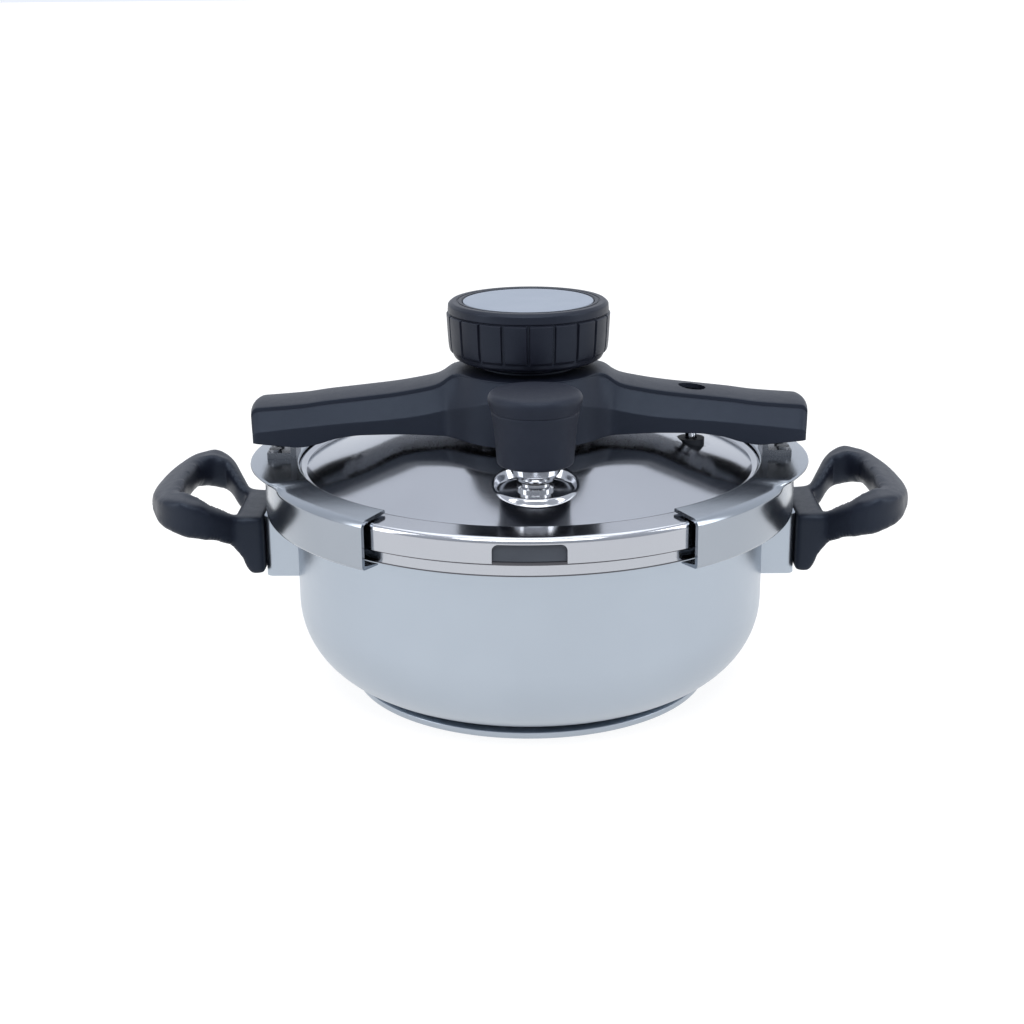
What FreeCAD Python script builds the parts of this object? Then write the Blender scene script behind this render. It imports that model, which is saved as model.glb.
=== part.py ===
import FreeCAD, Part
import Sketcher
import math
import os

# Stovetop pressure cooker with two clamping jaws worked by a central knob.
# Millimetres, +Z up. The origin is the centre of the face that the pot stands on;
# X runs from handle to handle and -Y is the side with the pressure regulator.

Vector = FreeCAD.Vector
doc = FreeCAD.newDocument("pressure_cooker")
sheet = doc.addObject("Spreadsheet::Sheet", "Sizes")
sheet.Label = "sizes"

DRIVING_SIZES = [
    ("pot_radius", 121.0),        # outside of the straight wall
    ("pot_sheet", 1.2),           # steel sheet of the pot
    ("bowl_corner", 42.0),        # outside radius between the wall and the floor
    ("bowl_floor", 4.5),          # underside of the bowl, on top of the sandwich base
    ("rim_radius", 128.0),        # rolled rim, outside
    ("rim_top", 104.0),
    ("rim_low", 96.2),
    ("base_radius", 93.5),
    ("base_sheet", 0.8),
    ("lid_radius", 131.5),        # outside of the lid's skirt
    ("lid_sheet", 1.2),
    ("skirt_low", 103.5),
    ("ring_top", 116.8),          # inner edge of the ring that the jaws press on
    ("ring_inner", 117.0),
    ("ring_fall", 1.1),           # the ring slopes down to its outer edge by this much
    ("lid_corner", 3.0),          # outside radius between the ring and the skirt
    ("dome_foot", 113.0),
    ("dome_foot_top", 116.1),
    ("dome_top", 131.5),
    ("crown_edge", 52.0),         # the nearly flat crown ends and the knuckle begins
    ("crown_radius", 1100.0),
    ("knuckle_edge", 82.8),       # the knuckle ends and the straight slope begins
    ("knuckle_radius", 130.0),
    ("window_half", 17.0),        # safety window in the skirt
    ("window_top", 112.6),
    ("jaw_radius", 136.0),        # outside of each jaw's wall
    ("jaw_sheet", 1.8),
    ("jaw_low", 93.8),
    ("jaw_top", 119.2),           # inner edge of the sloped upper flange
    ("jaw_shoulder", 113.88),     # top of the upright wall, where its corner begins
    ("jaw_inner", 118.5),         # distance of the flange's inner edge from the axis
    ("lip_inner", 124.5),         # inner edge of the lower lip
    ("jaw_sweep", 111.0),         # angle that one jaw covers, in degrees
    ("jaw_tab", 143.5),           # reach of the tab under the end of the bridge
    ("jaw_travel", 11.0),
    ("knob_turn", 110.0),         # degrees from clamped to released
    ("pin_closed", 14.0),         # follower pin's distance from the axis, clamped
    ("pin_radius", 2.4),
    ("pin_gap", 0.12),            # play of a follower pin in its spiral slot
    ("plate_low", 134.0),         # steel plate under the bridge cover
    ("plate_thick", 2.0),
    ("arm_low", 136.2),           # sliding arms
    ("arm_thick", 3.0),
    ("arm_half", 8.8),
    ("cam_low", 140.2),
    ("cam_thick", 3.0),
    ("cam_radius", 31.0),
    ("spindle_radius", 5.0),
    ("running_gap", 0.05),        # radial play between the spindle and its bushes
    ("bridge_half", 142.0),       # half length of the bridge cover
    ("hub_radius", 45.0),
    ("cover_wall", 2.5),
    ("neck_top", 168.6),
    ("knob_low", 169.5),
    ("knob_top", 199.2),
    ("disc_radius", 33.0),
    ("regulator_y", -79.0),
    ("regulator_x", 3.0),
    ("pad_top", 123.6),           # flat pad pressed into the dome for the regulator
    ("pad_radius", 19.0),
    ("indicator_x", 83.5),
    ("indicator_hole", 7.0),
    ("bracket_reach", 136.0),
    ("bracket_half", 22.0),
    ("bracket_low", 60.0),
    ("bracket_top", 92.0),
    ("handle_reach", 195.0),
    ("handle_half", 52.0),
    ("handle_bolt_z", 84.0),
]


class Size:
    """A length together with the sheet formula that it comes from."""

    def __init__(self, value, formula):
        self.value = value
        self.formula = formula

    def combined(self, other, sign, result):
        text = other.formula if isinstance(other, Size) else repr(float(other))
        return Size(result, "(%s %s %s)" % (self.formula, sign, text))

    def __add__(self, other):
        return self.combined(other, "+", self.value + number(other))

    def __sub__(self, other):
        return self.combined(other, "-", self.value - number(other))

    def __mul__(self, other):
        return self.combined(other, "*", self.value * number(other))

    def __truediv__(self, other):
        return self.combined(other, "/", self.value / number(other))

    def __neg__(self):
        return self * -1.0


def number(size):
    """The plain value of a Size or of a number."""
    return size.value if isinstance(size, Size) else float(size)


def formula(size):
    """The sheet formula of a Size, or a number written out."""
    return size.formula if isinstance(size, Size) else repr(float(size))


S = {}
for row, (alias, value) in enumerate(DRIVING_SIZES, start=1):
    sheet.set("A%d" % row, alias)
    sheet.set("B%d" % row, repr(value))
    sheet.setAlias("B%d" % row, alias)
    S[alias] = Size(value, "Sizes." + alias)
doc.recompute()


# ---------------------------------------------------------------- helpers

def bind(feature, path, size):
    """Set one property to a size and tie it to the sheet."""
    setattr(feature, path, number(size))
    if isinstance(size, Size):
        feature.setExpression(path, size.formula)


def place(feature, x=0.0, y=0.0, z=0.0, turn=0.0):
    """Put a feature at a point, turned about the vertical."""
    feature.Placement = FreeCAD.Placement(
        Vector(number(x), number(y), number(z)),
        FreeCAD.Rotation(Vector(0, 0, 1), turn))
    for axis, size in (("x", x), ("y", y), ("z", z)):
        if isinstance(size, Size):
            feature.setExpression(".Placement.Base." + axis, size.formula)


def new_body(label):
    body = doc.addObject("PartDesign::Body", label)
    body.Label = label
    return body


def new_sketch(body, plane, offset=None):
    """A sketch on one of the body's own origin planes, raised by an offset."""
    sketch = body.newObject("Sketcher::SketchObject", "sketch")
    role = plane + "_Plane"
    origin_plane = [o for o in body.Origin.OriginFeatures if o.Role == role][0]
    sketch.AttachmentSupport = [(origin_plane, "")]
    sketch.MapMode = "FlatFace"
    if offset is not None:
        sketch.AttachmentOffset = FreeCAD.Placement(Vector(0, 0, number(offset)), FreeCAD.Rotation())
        sketch.setExpression(".AttachmentOffset.Base.z", formula(offset))
    return sketch


def fix_point(sketch, edge, end, point):
    """Hold one end of an edge at a point given by two sizes."""
    for kind, size in (("DistanceX", point[0]), ("DistanceY", point[1])):
        index = sketch.addConstraint(
            Sketcher.Constraint(kind, -1, 1, edge, end, number(size)))
        if isinstance(size, Size):
            sketch.setExpression("Constraints[%d]" % index, size.formula)


def outline(sketch, corners):
    """Draw one closed outline. A corner is (x, y), or (x, y, radius) where an arc leaves it.

    A positive radius turns to the left on the way to the next corner, a negative one to the right.
    """
    starts = []
    ends = []
    for i, corner in enumerate(corners):
        after = corners[(i + 1) % len(corners)]
        first = Vector(number(corner[0]), number(corner[1]), 0)
        last = Vector(number(after[0]), number(after[1]), 0)
        if len(corner) == 2:
            edge = sketch.addGeometry(Part.LineSegment(first, last))
            starts.append((edge, 1))
            ends.append((edge, 2))
            continue
        radius = abs(number(corner[2]))
        left = number(corner[2]) > 0
        chord = last - first
        side = Vector(-chord.y, chord.x, 0).normalize() * (1 if left else -1)
        reach = math.sqrt(max(radius ** 2 - (chord.Length / 2) ** 2, 0.0))
        centre = (first + last) * 0.5 + side * reach
        circle = Part.Circle(centre, Vector(0, 0, 1), radius)
        begin = first if left else last
        finish = last if left else first
        low = math.atan2(begin.y - centre.y, begin.x - centre.x)
        high = math.atan2(finish.y - centre.y, finish.x - centre.x)
        edge = sketch.addGeometry(Part.ArcOfCircle(circle, low, high))
        index = sketch.addConstraint(Sketcher.Constraint("Radius", edge, radius))
        if isinstance(corner[2], Size):
            sign = "" if left else "-1 * "
            sketch.setExpression("Constraints[%d]" % index, sign + corner[2].formula)
        starts.append((edge, 1 if left else 2))
        ends.append((edge, 2 if left else 1))
    for i, corner in enumerate(corners):
        fix_point(sketch, starts[i][0], starts[i][1], corner)
        after = starts[(i + 1) % len(corners)]
        sketch.addConstraint(Sketcher.Constraint("Coincident", ends[i][0], ends[i][1], *after))


def ring(sketch, x, y, radius):
    """Draw one circle."""
    circle = Part.Circle(Vector(number(x), number(y), 0), Vector(0, 0, 1), number(radius))
    edge = sketch.addGeometry(circle)
    fix_point(sketch, edge, 3, (x, y))
    index = sketch.addConstraint(Sketcher.Constraint("Radius", edge, number(radius)))
    if isinstance(radius, Size):
        sketch.setExpression("Constraints[%d]" % index, radius.formula)


def revolve(body, corners, angle=360.0, cut=False):
    """Turn an outline drawn in the XZ plane about the Z axis."""
    sketch = new_sketch(body, "XZ")
    outline(sketch, corners)
    kind = "PartDesign::Groove" if cut else "PartDesign::Revolution"
    turned = body.newObject(kind, "turned")
    turned.Profile = sketch
    turned.ReferenceAxis = (sketch, ["V_Axis"])
    if number(angle) < 360.0:
        turned.Midplane = True
    bind(turned, "Angle", angle)
    return turned


def prism(body, plane, low, height, shapes, cut=False):
    """Pad or pocket closed shapes between two levels of a plane.

    The XZ plane's levels count towards -Y, and the YZ plane's towards +X.
    """
    sketch = new_sketch(body, plane, low)
    for shape in shapes:
        if shape[0] == "ring":
            ring(sketch, *shape[1:])
        else:
            outline(sketch, shape)
    before = 0.0
    if cut:
        doc.recompute()
        before = body.Shape.Volume
    feature = body.newObject("PartDesign::Pocket" if cut else "PartDesign::Pad", "prism")
    feature.Profile = sketch
    bind(feature, "Length", height)
    if cut:
        feature.Reversed = True
        doc.recompute()
        if not body.Shape.Volume < before - 1e-6:
            raise RuntimeError("a pocket cut nothing in " + body.Label)
    return feature


def box(low_x, low_y, high_x, high_y):
    """The corners of a rectangle."""
    return [(low_x, low_y), (high_x, low_y), (high_x, high_y), (low_x, high_y)]


def rounded(half_x, half_y, radius, x=0.0):
    """The corners of a rounded rectangle about (x, 0)."""
    return [
        (x + half_x, -half_y + radius), (x + half_x, half_y - radius, radius),
        (x + half_x - radius, half_y), (x - half_x + radius, half_y, radius),
        (x - half_x, half_y - radius), (x - half_x, -half_y + radius, radius),
        (x - half_x + radius, -half_y), (x + half_x - radius, -half_y, radius)]


def group(label, solids):
    """Identical small pieces that share one node as separate solids."""
    feature = doc.addObject("Part::Feature", label)
    feature.Label = label
    feature.Shape = Part.makeCompound(solids)
    return feature


def copy_of(label, source, turn):
    """The same piece again, turned about the cooker's axis."""
    twin = doc.addObject("Part::Feature", label)
    twin.Label = label
    shape = source.Shape.copy()
    shape.rotate(Vector(0, 0, 0), Vector(0, 0, 1), turn)
    twin.Shape = shape
    return twin


def cylinder(radius, low, high, x=0.0, y=0.0):
    """A plain upright cylinder as a shape."""
    return Part.makeCylinder(radius, high - low, Vector(x, y, low))


def hexagon(flat_half, low, high, height, along_x=True):
    """A hexagonal bar between two levels, along X at a height, or upright."""
    corner = flat_half / math.cos(math.pi / 6)
    points = []
    for i in range(7):
        angle = math.pi / 3 * i
        if along_x:
            points.append(Vector(low, corner * math.cos(angle), height + corner * math.sin(angle)))
        else:
            points.append(Vector(corner * math.cos(angle), corner * math.sin(angle), low))
    face = Part.Face(Part.makePolygon(points))
    return face.extrude(Vector(high - low, 0, 0) if along_x else Vector(0, 0, high - low))


# ---------------------------------------------------------------- pot

def make_pot_body():
    body = new_body("pot_body")
    inner = S["pot_radius"] - S["pot_sheet"]
    bowl_centre = S["bowl_floor"] + S["bowl_corner"]
    flat = S["pot_radius"] - S["bowl_corner"]
    sheet_size = S["pot_sheet"]
    band = S["rim_radius"] - sheet_size
    corner = 1.5
    revolve(body, [
        (0.0, S["bowl_floor"]),
        (flat, S["bowl_floor"], S["bowl_corner"]),
        (S["pot_radius"], bowl_centre),
        (S["pot_radius"], S["rim_top"] - sheet_size),
        (band, S["rim_top"] - sheet_size),
        (band, S["rim_low"]),
        (S["rim_radius"], S["rim_low"]),
        (S["rim_radius"], S["rim_top"] - corner, corner),
        (S["rim_radius"] - corner, S["rim_top"]),
        (inner + corner, S["rim_top"], corner),
        (inner, S["rim_top"] - corner),
        (inner, bowl_centre, -(S["bowl_corner"] - sheet_size)),
        (flat, S["bowl_floor"] + sheet_size),
        (0.0, S["bowl_floor"] + sheet_size)])
    return body


def bowl_under(offset):
    """A point of the bowl's outside, a given way out from the flat floor."""
    rise = S["bowl_corner"].value - math.sqrt(S["bowl_corner"].value ** 2 - offset ** 2)
    return (S["pot_radius"] - S["bowl_corner"] + offset, S["bowl_floor"] + rise)


def make_base():
    """The aluminium core and its steel cap, brazed under the bowl."""
    flat = S["pot_radius"] - S["bowl_corner"]
    edge = S["base_radius"] - S["base_sheet"]
    corner = 2.0
    core_end = bowl_under(7.5)
    core = new_body("base_core")
    revolve(core, [
        (0.0, S["base_sheet"]),
        (edge - 1.0, S["base_sheet"]),
        (edge, S["base_sheet"] + 1.0),
        (edge, 3.4),
        (core_end[0], core_end[1], -S["bowl_corner"]),
        (flat, S["bowl_floor"]),
        (0.0, S["bowl_floor"])])
    cap = new_body("base_cap")
    cap_end = bowl_under(9.0)
    revolve(cap, [
        (0.0, 0.0),
        (S["base_radius"] - corner, 0.0, corner),
        (S["base_radius"], corner),
        (S["base_radius"], 3.6),
        (cap_end[0], cap_end[1], -S["bowl_corner"]),
        core_end,
        (edge, 3.4),
        (edge, S["base_sheet"] + 1.0),
        (edge - 1.0, S["base_sheet"]),
        (0.0, S["base_sheet"])])


def make_bracket():
    """A bent steel strap, welded to the wall, that carries one handle."""
    body = new_body("handle_bracket_right")
    thick = 2.0
    bend = 4.0
    reach = S["bracket_reach"]
    half = S["bracket_half"]
    wall_end = 112.0
    prism(body, "XY", S["bracket_low"], S["bracket_top"] - S["bracket_low"], [[
        (wall_end, -half), (reach - bend, -half, bend), (reach, -half + bend),
        (reach, half - bend, bend), (reach - bend, half), (wall_end, half),
        (wall_end, half - thick), (reach - bend, half - thick, -(bend - thick)),
        (reach - thick, half - bend), (reach - thick, -half + bend, -(bend - thick)),
        (reach - bend, -half + thick), (wall_end, -half + thick)]])
    prism(body, "XY", 50.0, 60.0, [("ring", 0.0, 0.0, S["pot_radius"])], cut=True)
    prism(body, "YZ", 125.0, 20.0, [("ring", 0.0, S["handle_bolt_z"], 2.6)], cut=True)
    return body


def make_handle():
    """A moulded loop: a root on the bracket, two arms and an outer bar."""
    body = new_body("handle_right")
    root = S["bracket_reach"]
    reach = S["handle_reach"]
    half = S["handle_half"]
    outer = [
        (root, -26.0), (150.0, -28.0), (160.0, -half + 6.0), (168.0, -half, 24.0),
        (reach - 7.0, -half + 18.0, 86.0), (reach - 7.0, half - 18.0, 24.0), (168.0, half),
        (160.0, half - 6.0), (150.0, 28.0), (root, 26.0)]
    finger_gap = [
        (151.0, -20.0), (163.0, -38.0), (172.0, -36.0, 14.0), (179.0, -24.0), (181.0, 0.0),
        (179.0, 24.0, 14.0), (172.0, 36.0), (163.0, 38.0), (151.0, 20.0)]
    prism(body, "XY", 58.0, 56.0, [outer, finger_gap])
    side = [
        (root - 1.0, 62.0), (143.0, 62.0), (146.0, 66.0), (148.0, 74.0), (152.0, 81.0),
        (158.0, 87.5), (166.0, 91.5), (176.0, 94.2), (186.0, 96.2), (192.5, 98.0),
        (reach + 1.0, 100.5), (194.0, 103.0), (190.0, 105.5), (182.0, 108.2), (172.0, 109.2),
        (163.0, 105.5), (150.5, 93.2), (root - 1.0, 92.5)]
    prism(body, "XZ", -half - 5.0, half * 2.0 + 10.0,
          [box(120.0, 40.0, 215.0, 125.0), side], cut=True)
    prism(body, "YZ", root - 1.0, 20.0, [("ring", 0.0, S["handle_bolt_z"], 2.6)], cut=True)
    prism(body, "YZ", HEAD_SEAT, 5.5, [("ring", 0.0, S["handle_bolt_z"], 4.9)], cut=True)
    return body


HEAD_SEAT = 146.0


def make_handle_fixings():
    """One M5 screw and one nut for each handle."""
    bolt_z = S["handle_bolt_z"].value
    along = Vector(1, 0, 0)
    screws = []
    nuts = []
    for side in (1, -1):
        shank = Part.makeCylinder(2.5, 17.0, Vector(129.2, 0, bolt_z), along)
        head = Part.makeCylinder(4.6, 3.2, Vector(HEAD_SEAT, 0, bolt_z), along)
        slot = Part.makeBox(2.0, 8.0, 1.2, Vector(HEAD_SEAT + 2.2, -4.0, bolt_z - 0.6))
        nut = hexagon(4.0, 130.0, 134.0, bolt_z)
        nut = nut.cut(Part.makeCylinder(2.5, 10.0, Vector(128.0, 0, bolt_z), along))
        screw = shank.fuse(head).cut(slot).removeSplitter()
        for solid, pile in ((screw, screws), (nut, nuts)):
            if side < 0:
                solid.rotate(Vector(0, 0, 0), Vector(0, 0, 1), 180)
            pile.append(solid)
    group("handle_screws", screws)
    group("handle_nuts", nuts)


make_pot_body()
make_base()
bracket = make_bracket()
handle = make_handle()
doc.recompute()
copy_of("handle_bracket_left", bracket, 180)
copy_of("handle_left", handle, 180)
make_handle_fixings()


# ---------------------------------------------------------------- lid

def dome_drops():
    """How far the dome has fallen at the crown's edge and at the knuckle's edge."""
    crown = S["crown_radius"].value
    knuckle = S["knuckle_radius"].value
    first = math.asin(S["crown_edge"].value / crown)
    run = S["knuckle_edge"].value - S["crown_edge"].value
    last = math.asin(math.sin(first) + run / knuckle)
    crown_drop = crown * (1 - math.cos(first))
    return crown_drop, crown_drop + knuckle * (math.cos(first) - math.cos(last))


def crown_height(distance):
    """Height of the crown's outside at a distance from the axis."""
    radius = S["crown_radius"].value
    return S["dome_top"].value - radius + math.sqrt(radius ** 2 - distance ** 2)


def lid_outline(inward):
    """Outline of the lid's outside, or of its inside one sheet lower."""
    crown_drop, knuckle_drop = dome_drops()
    dome_top = S["dome_top"] - inward
    foot_top = S["dome_foot_top"] - inward
    edge_top = S["ring_top"] - inward - S["ring_fall"]
    groove = 114.9
    return [
        (0.0, dome_top, -S["crown_radius"]),
        (S["crown_edge"], dome_top - crown_drop, -S["knuckle_radius"]),
        (S["knuckle_edge"], dome_top - knuckle_drop),
        (S["dome_foot"], foot_top),
        (groove, foot_top - 0.5),
        (S["ring_inner"], S["ring_top"] - inward),
        (S["lid_radius"] - S["lid_corner"], edge_top, -(S["lid_corner"] - inward)),
        (S["lid_radius"] - inward, S["ring_top"] - S["ring_fall"] - S["lid_corner"])]


def make_lid_shell():
    """The pressed lid: dome, flat pad for the regulator, ring, and skirt with its window."""
    outside = new_body("lid_outside")
    revolve(outside, lid_outline(0.0) + [
        (S["lid_radius"], S["skirt_low"]), (0.0, S["skirt_low"])])
    inside = new_body("lid_inside")
    side = S["lid_radius"] - S["lid_sheet"]
    revolve(inside, lid_outline(S["lid_sheet"]) + [
        (side, S["skirt_low"] - 1.0), (0.0, S["skirt_low"] - 1.0)])
    formed = []
    for name, source, inward in (("outside", outside, 0.0), ("inside", inside, S["lid_sheet"].value)):
        recess = doc.addObject("Part::Cylinder", "pad_recess_" + name)
        bind(recess, "Radius", S["pad_radius"] - inward)
        bind(recess, "Height", 10.0)
        place(recess, S["regulator_x"], S["regulator_y"], S["pad_top"] - inward)
        boss = doc.addObject("Part::Cylinder", "pad_boss_" + name)
        bind(boss, "Radius", S["pad_radius"] - inward)
        bind(boss, "Height", S["pad_top"] - S["ring_top"])
        place(boss, S["regulator_x"], S["regulator_y"], S["ring_top"] - inward)
        sunk = doc.addObject("Part::Cut", "pad_sunk_" + name)
        sunk.Base = source
        sunk.Tool = recess
        raised = doc.addObject("Part::Fuse", "pad_raised_" + name)
        raised.Base = sunk
        raised.Tool = boss
        formed.append(raised)
    hollow = doc.addObject("Part::Cut", "lid_hollow")
    hollow.Base, hollow.Tool = formed
    tools = []
    for name, x, y, radius in (
            ("vent_hole", S["regulator_x"], S["regulator_y"], S["spindle_radius"]),
            ("indicator_seat", S["indicator_x"], 0.0, S["indicator_hole"])):
        hole = doc.addObject("Part::Cylinder", name)
        bind(hole, "Radius", radius)
        bind(hole, "Height", 30.0)
        place(hole, x, y, S["ring_top"] - 4.0)
        tools.append(hole)
    window = new_body("lid_window")
    corner = 3.0
    half = S["window_half"]
    prism(window, "XZ", 120.0, 20.0, [[
        (-half, S["skirt_low"] - 1.0), (half, S["skirt_low"] - 1.0),
        (half, S["window_top"] - corner, corner), (half - corner, S["window_top"]),
        (-half + corner, S["window_top"], corner), (-half, S["window_top"] - corner)]])
    tools.append(window)
    openings = doc.addObject("Part::MultiFuse", "lid_openings")
    openings.Shapes = tools
    lid = doc.addObject("Part::Cut", "lid_shell")
    lid.Label = "lid_shell"
    lid.Base = hollow
    lid.Tool = openings
    return lid


def make_gasket():
    """The silicone lip seal between the lid and the pot's rim."""
    body = new_body("lid_gasket")
    low = S["rim_top"] + 0.3
    high = S["ring_top"] - S["ring_fall"] - S["lid_sheet"] - 0.3
    side = S["lid_radius"] - S["lid_sheet"] - 0.4
    revolve(body, [
        (118.5, low), (side, low), (side, high - 2.4), (side - 2.3, high), (118.0, high),
        (118.0, high - 2.2), (126.0, high - 2.2), (126.0, low + 2.3), (118.5, low + 2.3)])


def make_base_plate():
    """Steel plate under the bridge cover, with two rails that guide the sliding arms."""
    body = new_body("bridge_base_plate")
    low = S["plate_low"]
    thick = S["plate_thick"]
    plate_end = 104.0
    prism(body, "XY", low, thick, [rounded(plate_end, 17.0, 3.0)])
    prism(body, "XY", low, thick, [("ring", 0.0, 0.0, 36.0)])
    rail_in = S["arm_half"] + 0.4
    rail_out = rail_in + 2.0
    for end in (1, -1):
        for side in (1, -1):
            xs = sorted((38.0 * end, plate_end * end))
            if side > 0:
                rail = box(xs[0], rail_in, xs[1], rail_out)
            else:
                rail = box(xs[0], -rail_out, xs[1], -rail_in)
            prism(body, "XY", low, thick + S["arm_thick"] + 1.2, [rail])
    prism(body, "XY", low - 1.0, 12.0, [("ring", 0.0, 0.0, 7.0)], cut=True)
    prism(body, "XY", low - 1.0, 12.0, [("ring", S["indicator_x"], 0.0, 5.0)], cut=True)
    for x, y in STUD_PLACES:
        prism(body, "XY", low - 1.0, 12.0, [("ring", x, y, 3.0)], cut=True)
    for x, y in COVER_SCREW_PLACES:
        prism(body, "XY", low - 1.0, 12.0, [("ring", x, y, 1.5)], cut=True)


STUD_PLACES = [(20.0, 22.0), (-20.0, 22.0), (-20.0, -22.0), (20.0, -22.0)]
COVER_SCREW_PLACES = [(97.0, 14.2), (-97.0, 14.2), (-97.0, -14.2), (97.0, -14.2)]


def make_fixings_of_bridge():
    """Studs welded to the dome with their nuts, and the screws of the cover."""
    low = S["plate_low"].value
    top = low + S["plate_thick"].value
    studs = []
    nuts = []
    for x, y in STUD_PLACES:
        foot = crown_height(math.hypot(x, y)) - 0.2
        stud = cylinder(3.0, foot, top + 3.8, x, y).fuse(cylinder(5.0, foot, low, x, y))
        studs.append(stud.removeSplitter())
        nut = hexagon(5.0, top, top + 3.4, 0.0, along_x=False)
        nut.translate(Vector(x, y, 0))
        nuts.append(nut.cut(cylinder(3.0, top - 1, top + 5, x, y)))
    group("bridge_studs", studs)
    group("bridge_nuts", nuts)
    screws = []
    for x, y in COVER_SCREW_PLACES:
        screw = cylinder(1.5, low - 1.4, low + 9.0, x, y).fuse(cylinder(3.0, low - 1.4, low, x, y))
        screws.append(screw.removeSplitter())
    group("cover_screws", screws)


# Half of the bridge, from its end to the hub: distance from the axis, height of the lower
# edge, of the shoulder line and of the top edge.
BRIDGE_STATIONS = [
    (142.0, 130.6, 136.2, 147.4),
    (116.0, 128.6, 138.6, 149.4),
    (96.0, 133.4, 140.6, 152.0),
    (66.0, 135.2, 143.4, 155.2),
    (46.0, 134.3, 146.0, 158.6),
]


def bridge_section(low, shoulder, top, inward):
    """Cross-section of the bridge: upright sides, sloped shoulders, crowned top."""
    low_half = 22.0 - inward
    top_half = 14.5 - 0.75 * inward
    crown = top + 0.9 - 1.04 * inward
    low_edge = low if inward == 0 else low - 2.0
    return [
        (-low_half, low_edge), (low_half, low_edge),
        (low_half - 0.3, shoulder - 0.5 * inward), (top_half, top - inward),
        (0.0, crown), (-top_half, top - inward), (-low_half + 0.3, shoulder - 0.5 * inward)]


def bridge_loft(body, inward, cut):
    """Join the bridge's sections from one end to the other."""
    ends = [S["bridge_half"] - inward] + [heights[0] for heights in BRIDGE_STATIONS[1:]]
    half = [(x,) + heights[1:] for x, heights in zip(ends, BRIDGE_STATIONS)]
    stations = [(-heights[0],) + heights[1:] for heights in half] + half[::-1]
    sketches = []
    for x, low, shoulder, top in stations:
        sketch = new_sketch(body, "YZ", x)
        outline(sketch, bridge_section(low, shoulder, top, inward))
        sketches.append(sketch)
    kind = "PartDesign::SubtractiveLoft" if cut else "PartDesign::AdditiveLoft"
    loft = body.newObject(kind, "loft")
    loft.Profile = sketches[0]
    loft.Sections = sketches[1:]
    loft.Ruled = True
    return loft


def make_bridge_cover():
    """The moulded bridge: two arms and the hub that the knob turns on, open underneath."""
    body = new_body("bridge_cover")
    hub = S["hub_radius"]
    wall = S["cover_wall"]
    neck = S["neck_top"]
    bridge_loft(body, 0.0, False)
    revolve(body, [
        (0.0, 133.2), (hub, 133.2), (hub - 0.5, 155.0), (37.5, 164.6), (26.0, 166.2),
        (25.0, neck), (0.0, neck)])
    bridge_loft(body, wall.value, True)
    revolve(body, [
        (0.0, 130.0), (hub - wall, 130.0), (hub - wall - 0.4, 153.6), (35.8, 161.6),
        (0.0, 161.6)], cut=True)
    for x, y in COVER_SCREW_PLACES:
        prism(body, "XY", S["plate_low"] + S["plate_thick"], 12.0, [("ring", x, y, 3.0)])
    for x, y in COVER_SCREW_PLACES:
        prism(body, "XY", 130.0, 13.0, [("ring", x, y, 1.5)], cut=True)
    prism(body, "XY", 150.0, 30.0, [("ring", 0.0, 0.0, 8.0)], cut=True)
    prism(body, "XY", 145.0, 30.0, [("ring", S["indicator_x"], 0.0, S["indicator_hole"])], cut=True)


def make_bushes():
    """Bronze bushes that the spindle turns in: one in the plate, one in the hub."""
    bore = S["spindle_radius"] + S["running_gap"]
    for label, outer, low, high in (
            ("spindle_bush_lower", 7.0, S["plate_low"], S["cam_low"] - 0.4),
            ("spindle_bush_upper", 8.0, S["neck_top"] - 7.0, S["neck_top"])):
        body = new_body(label)
        prism(body, "XY", low, high - low, [("ring", 0.0, 0.0, outer), ("ring", 0.0, 0.0, bore)])


def make_regulator_seat():
    """The vent stem through the lid, with its washer, nut and anti-clog cover inside."""
    pad = S["pad_top"]
    under = pad - S["lid_sheet"]
    bore = 1.5
    stem = new_body("regulator_stem")
    revolve(stem, [
        (bore, pad - 12.0), (5.0, pad - 12.0), (5.0, pad), (9.0, pad), (9.0, pad + 1.2),
        (7.6, pad + 2.0), (7.6, pad + 3.4), (5.0, pad + 4.0), (4.2, pad + 9.0), (3.2, pad + 19.0),
        (bore, pad + 20.0)])
    washer = new_body("regulator_washer")
    revolve(washer, [(5.0, under - 1.2), (9.0, under - 1.2), (9.0, under), (5.0, under)])
    nut = new_body("regulator_nut")
    revolve(nut, [(5.0, under - 5.6), (8.4, under - 5.6), (8.4, under - 1.2), (5.0, under - 1.2)])
    cover = new_body("anti_clog_cover")
    revolve(cover, [
        (0.0, under - 14.0), (9.0, under - 14.0, 3.0), (12.0, under - 11.0), (12.0, under - 2.4),
        (11.0, under - 2.4), (11.0, under - 5.6), (8.4, under - 5.6), (8.4, under - 6.6),
        (11.0, under - 6.6), (11.0, under - 11.0, -2.0), (9.0, under - 13.0), (0.0, under - 13.0)])
    for i in range(6):
        angle = math.radians(60 * i)
        prism(cover, "XY", under - 15.0, 4.0,
              [("ring", 6.0 * math.cos(angle), 6.0 * math.sin(angle), 1.5)], cut=True)
    for body in (stem, washer, nut, cover):
        place(body, S["regulator_x"], S["regulator_y"], 0.0)


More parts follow.
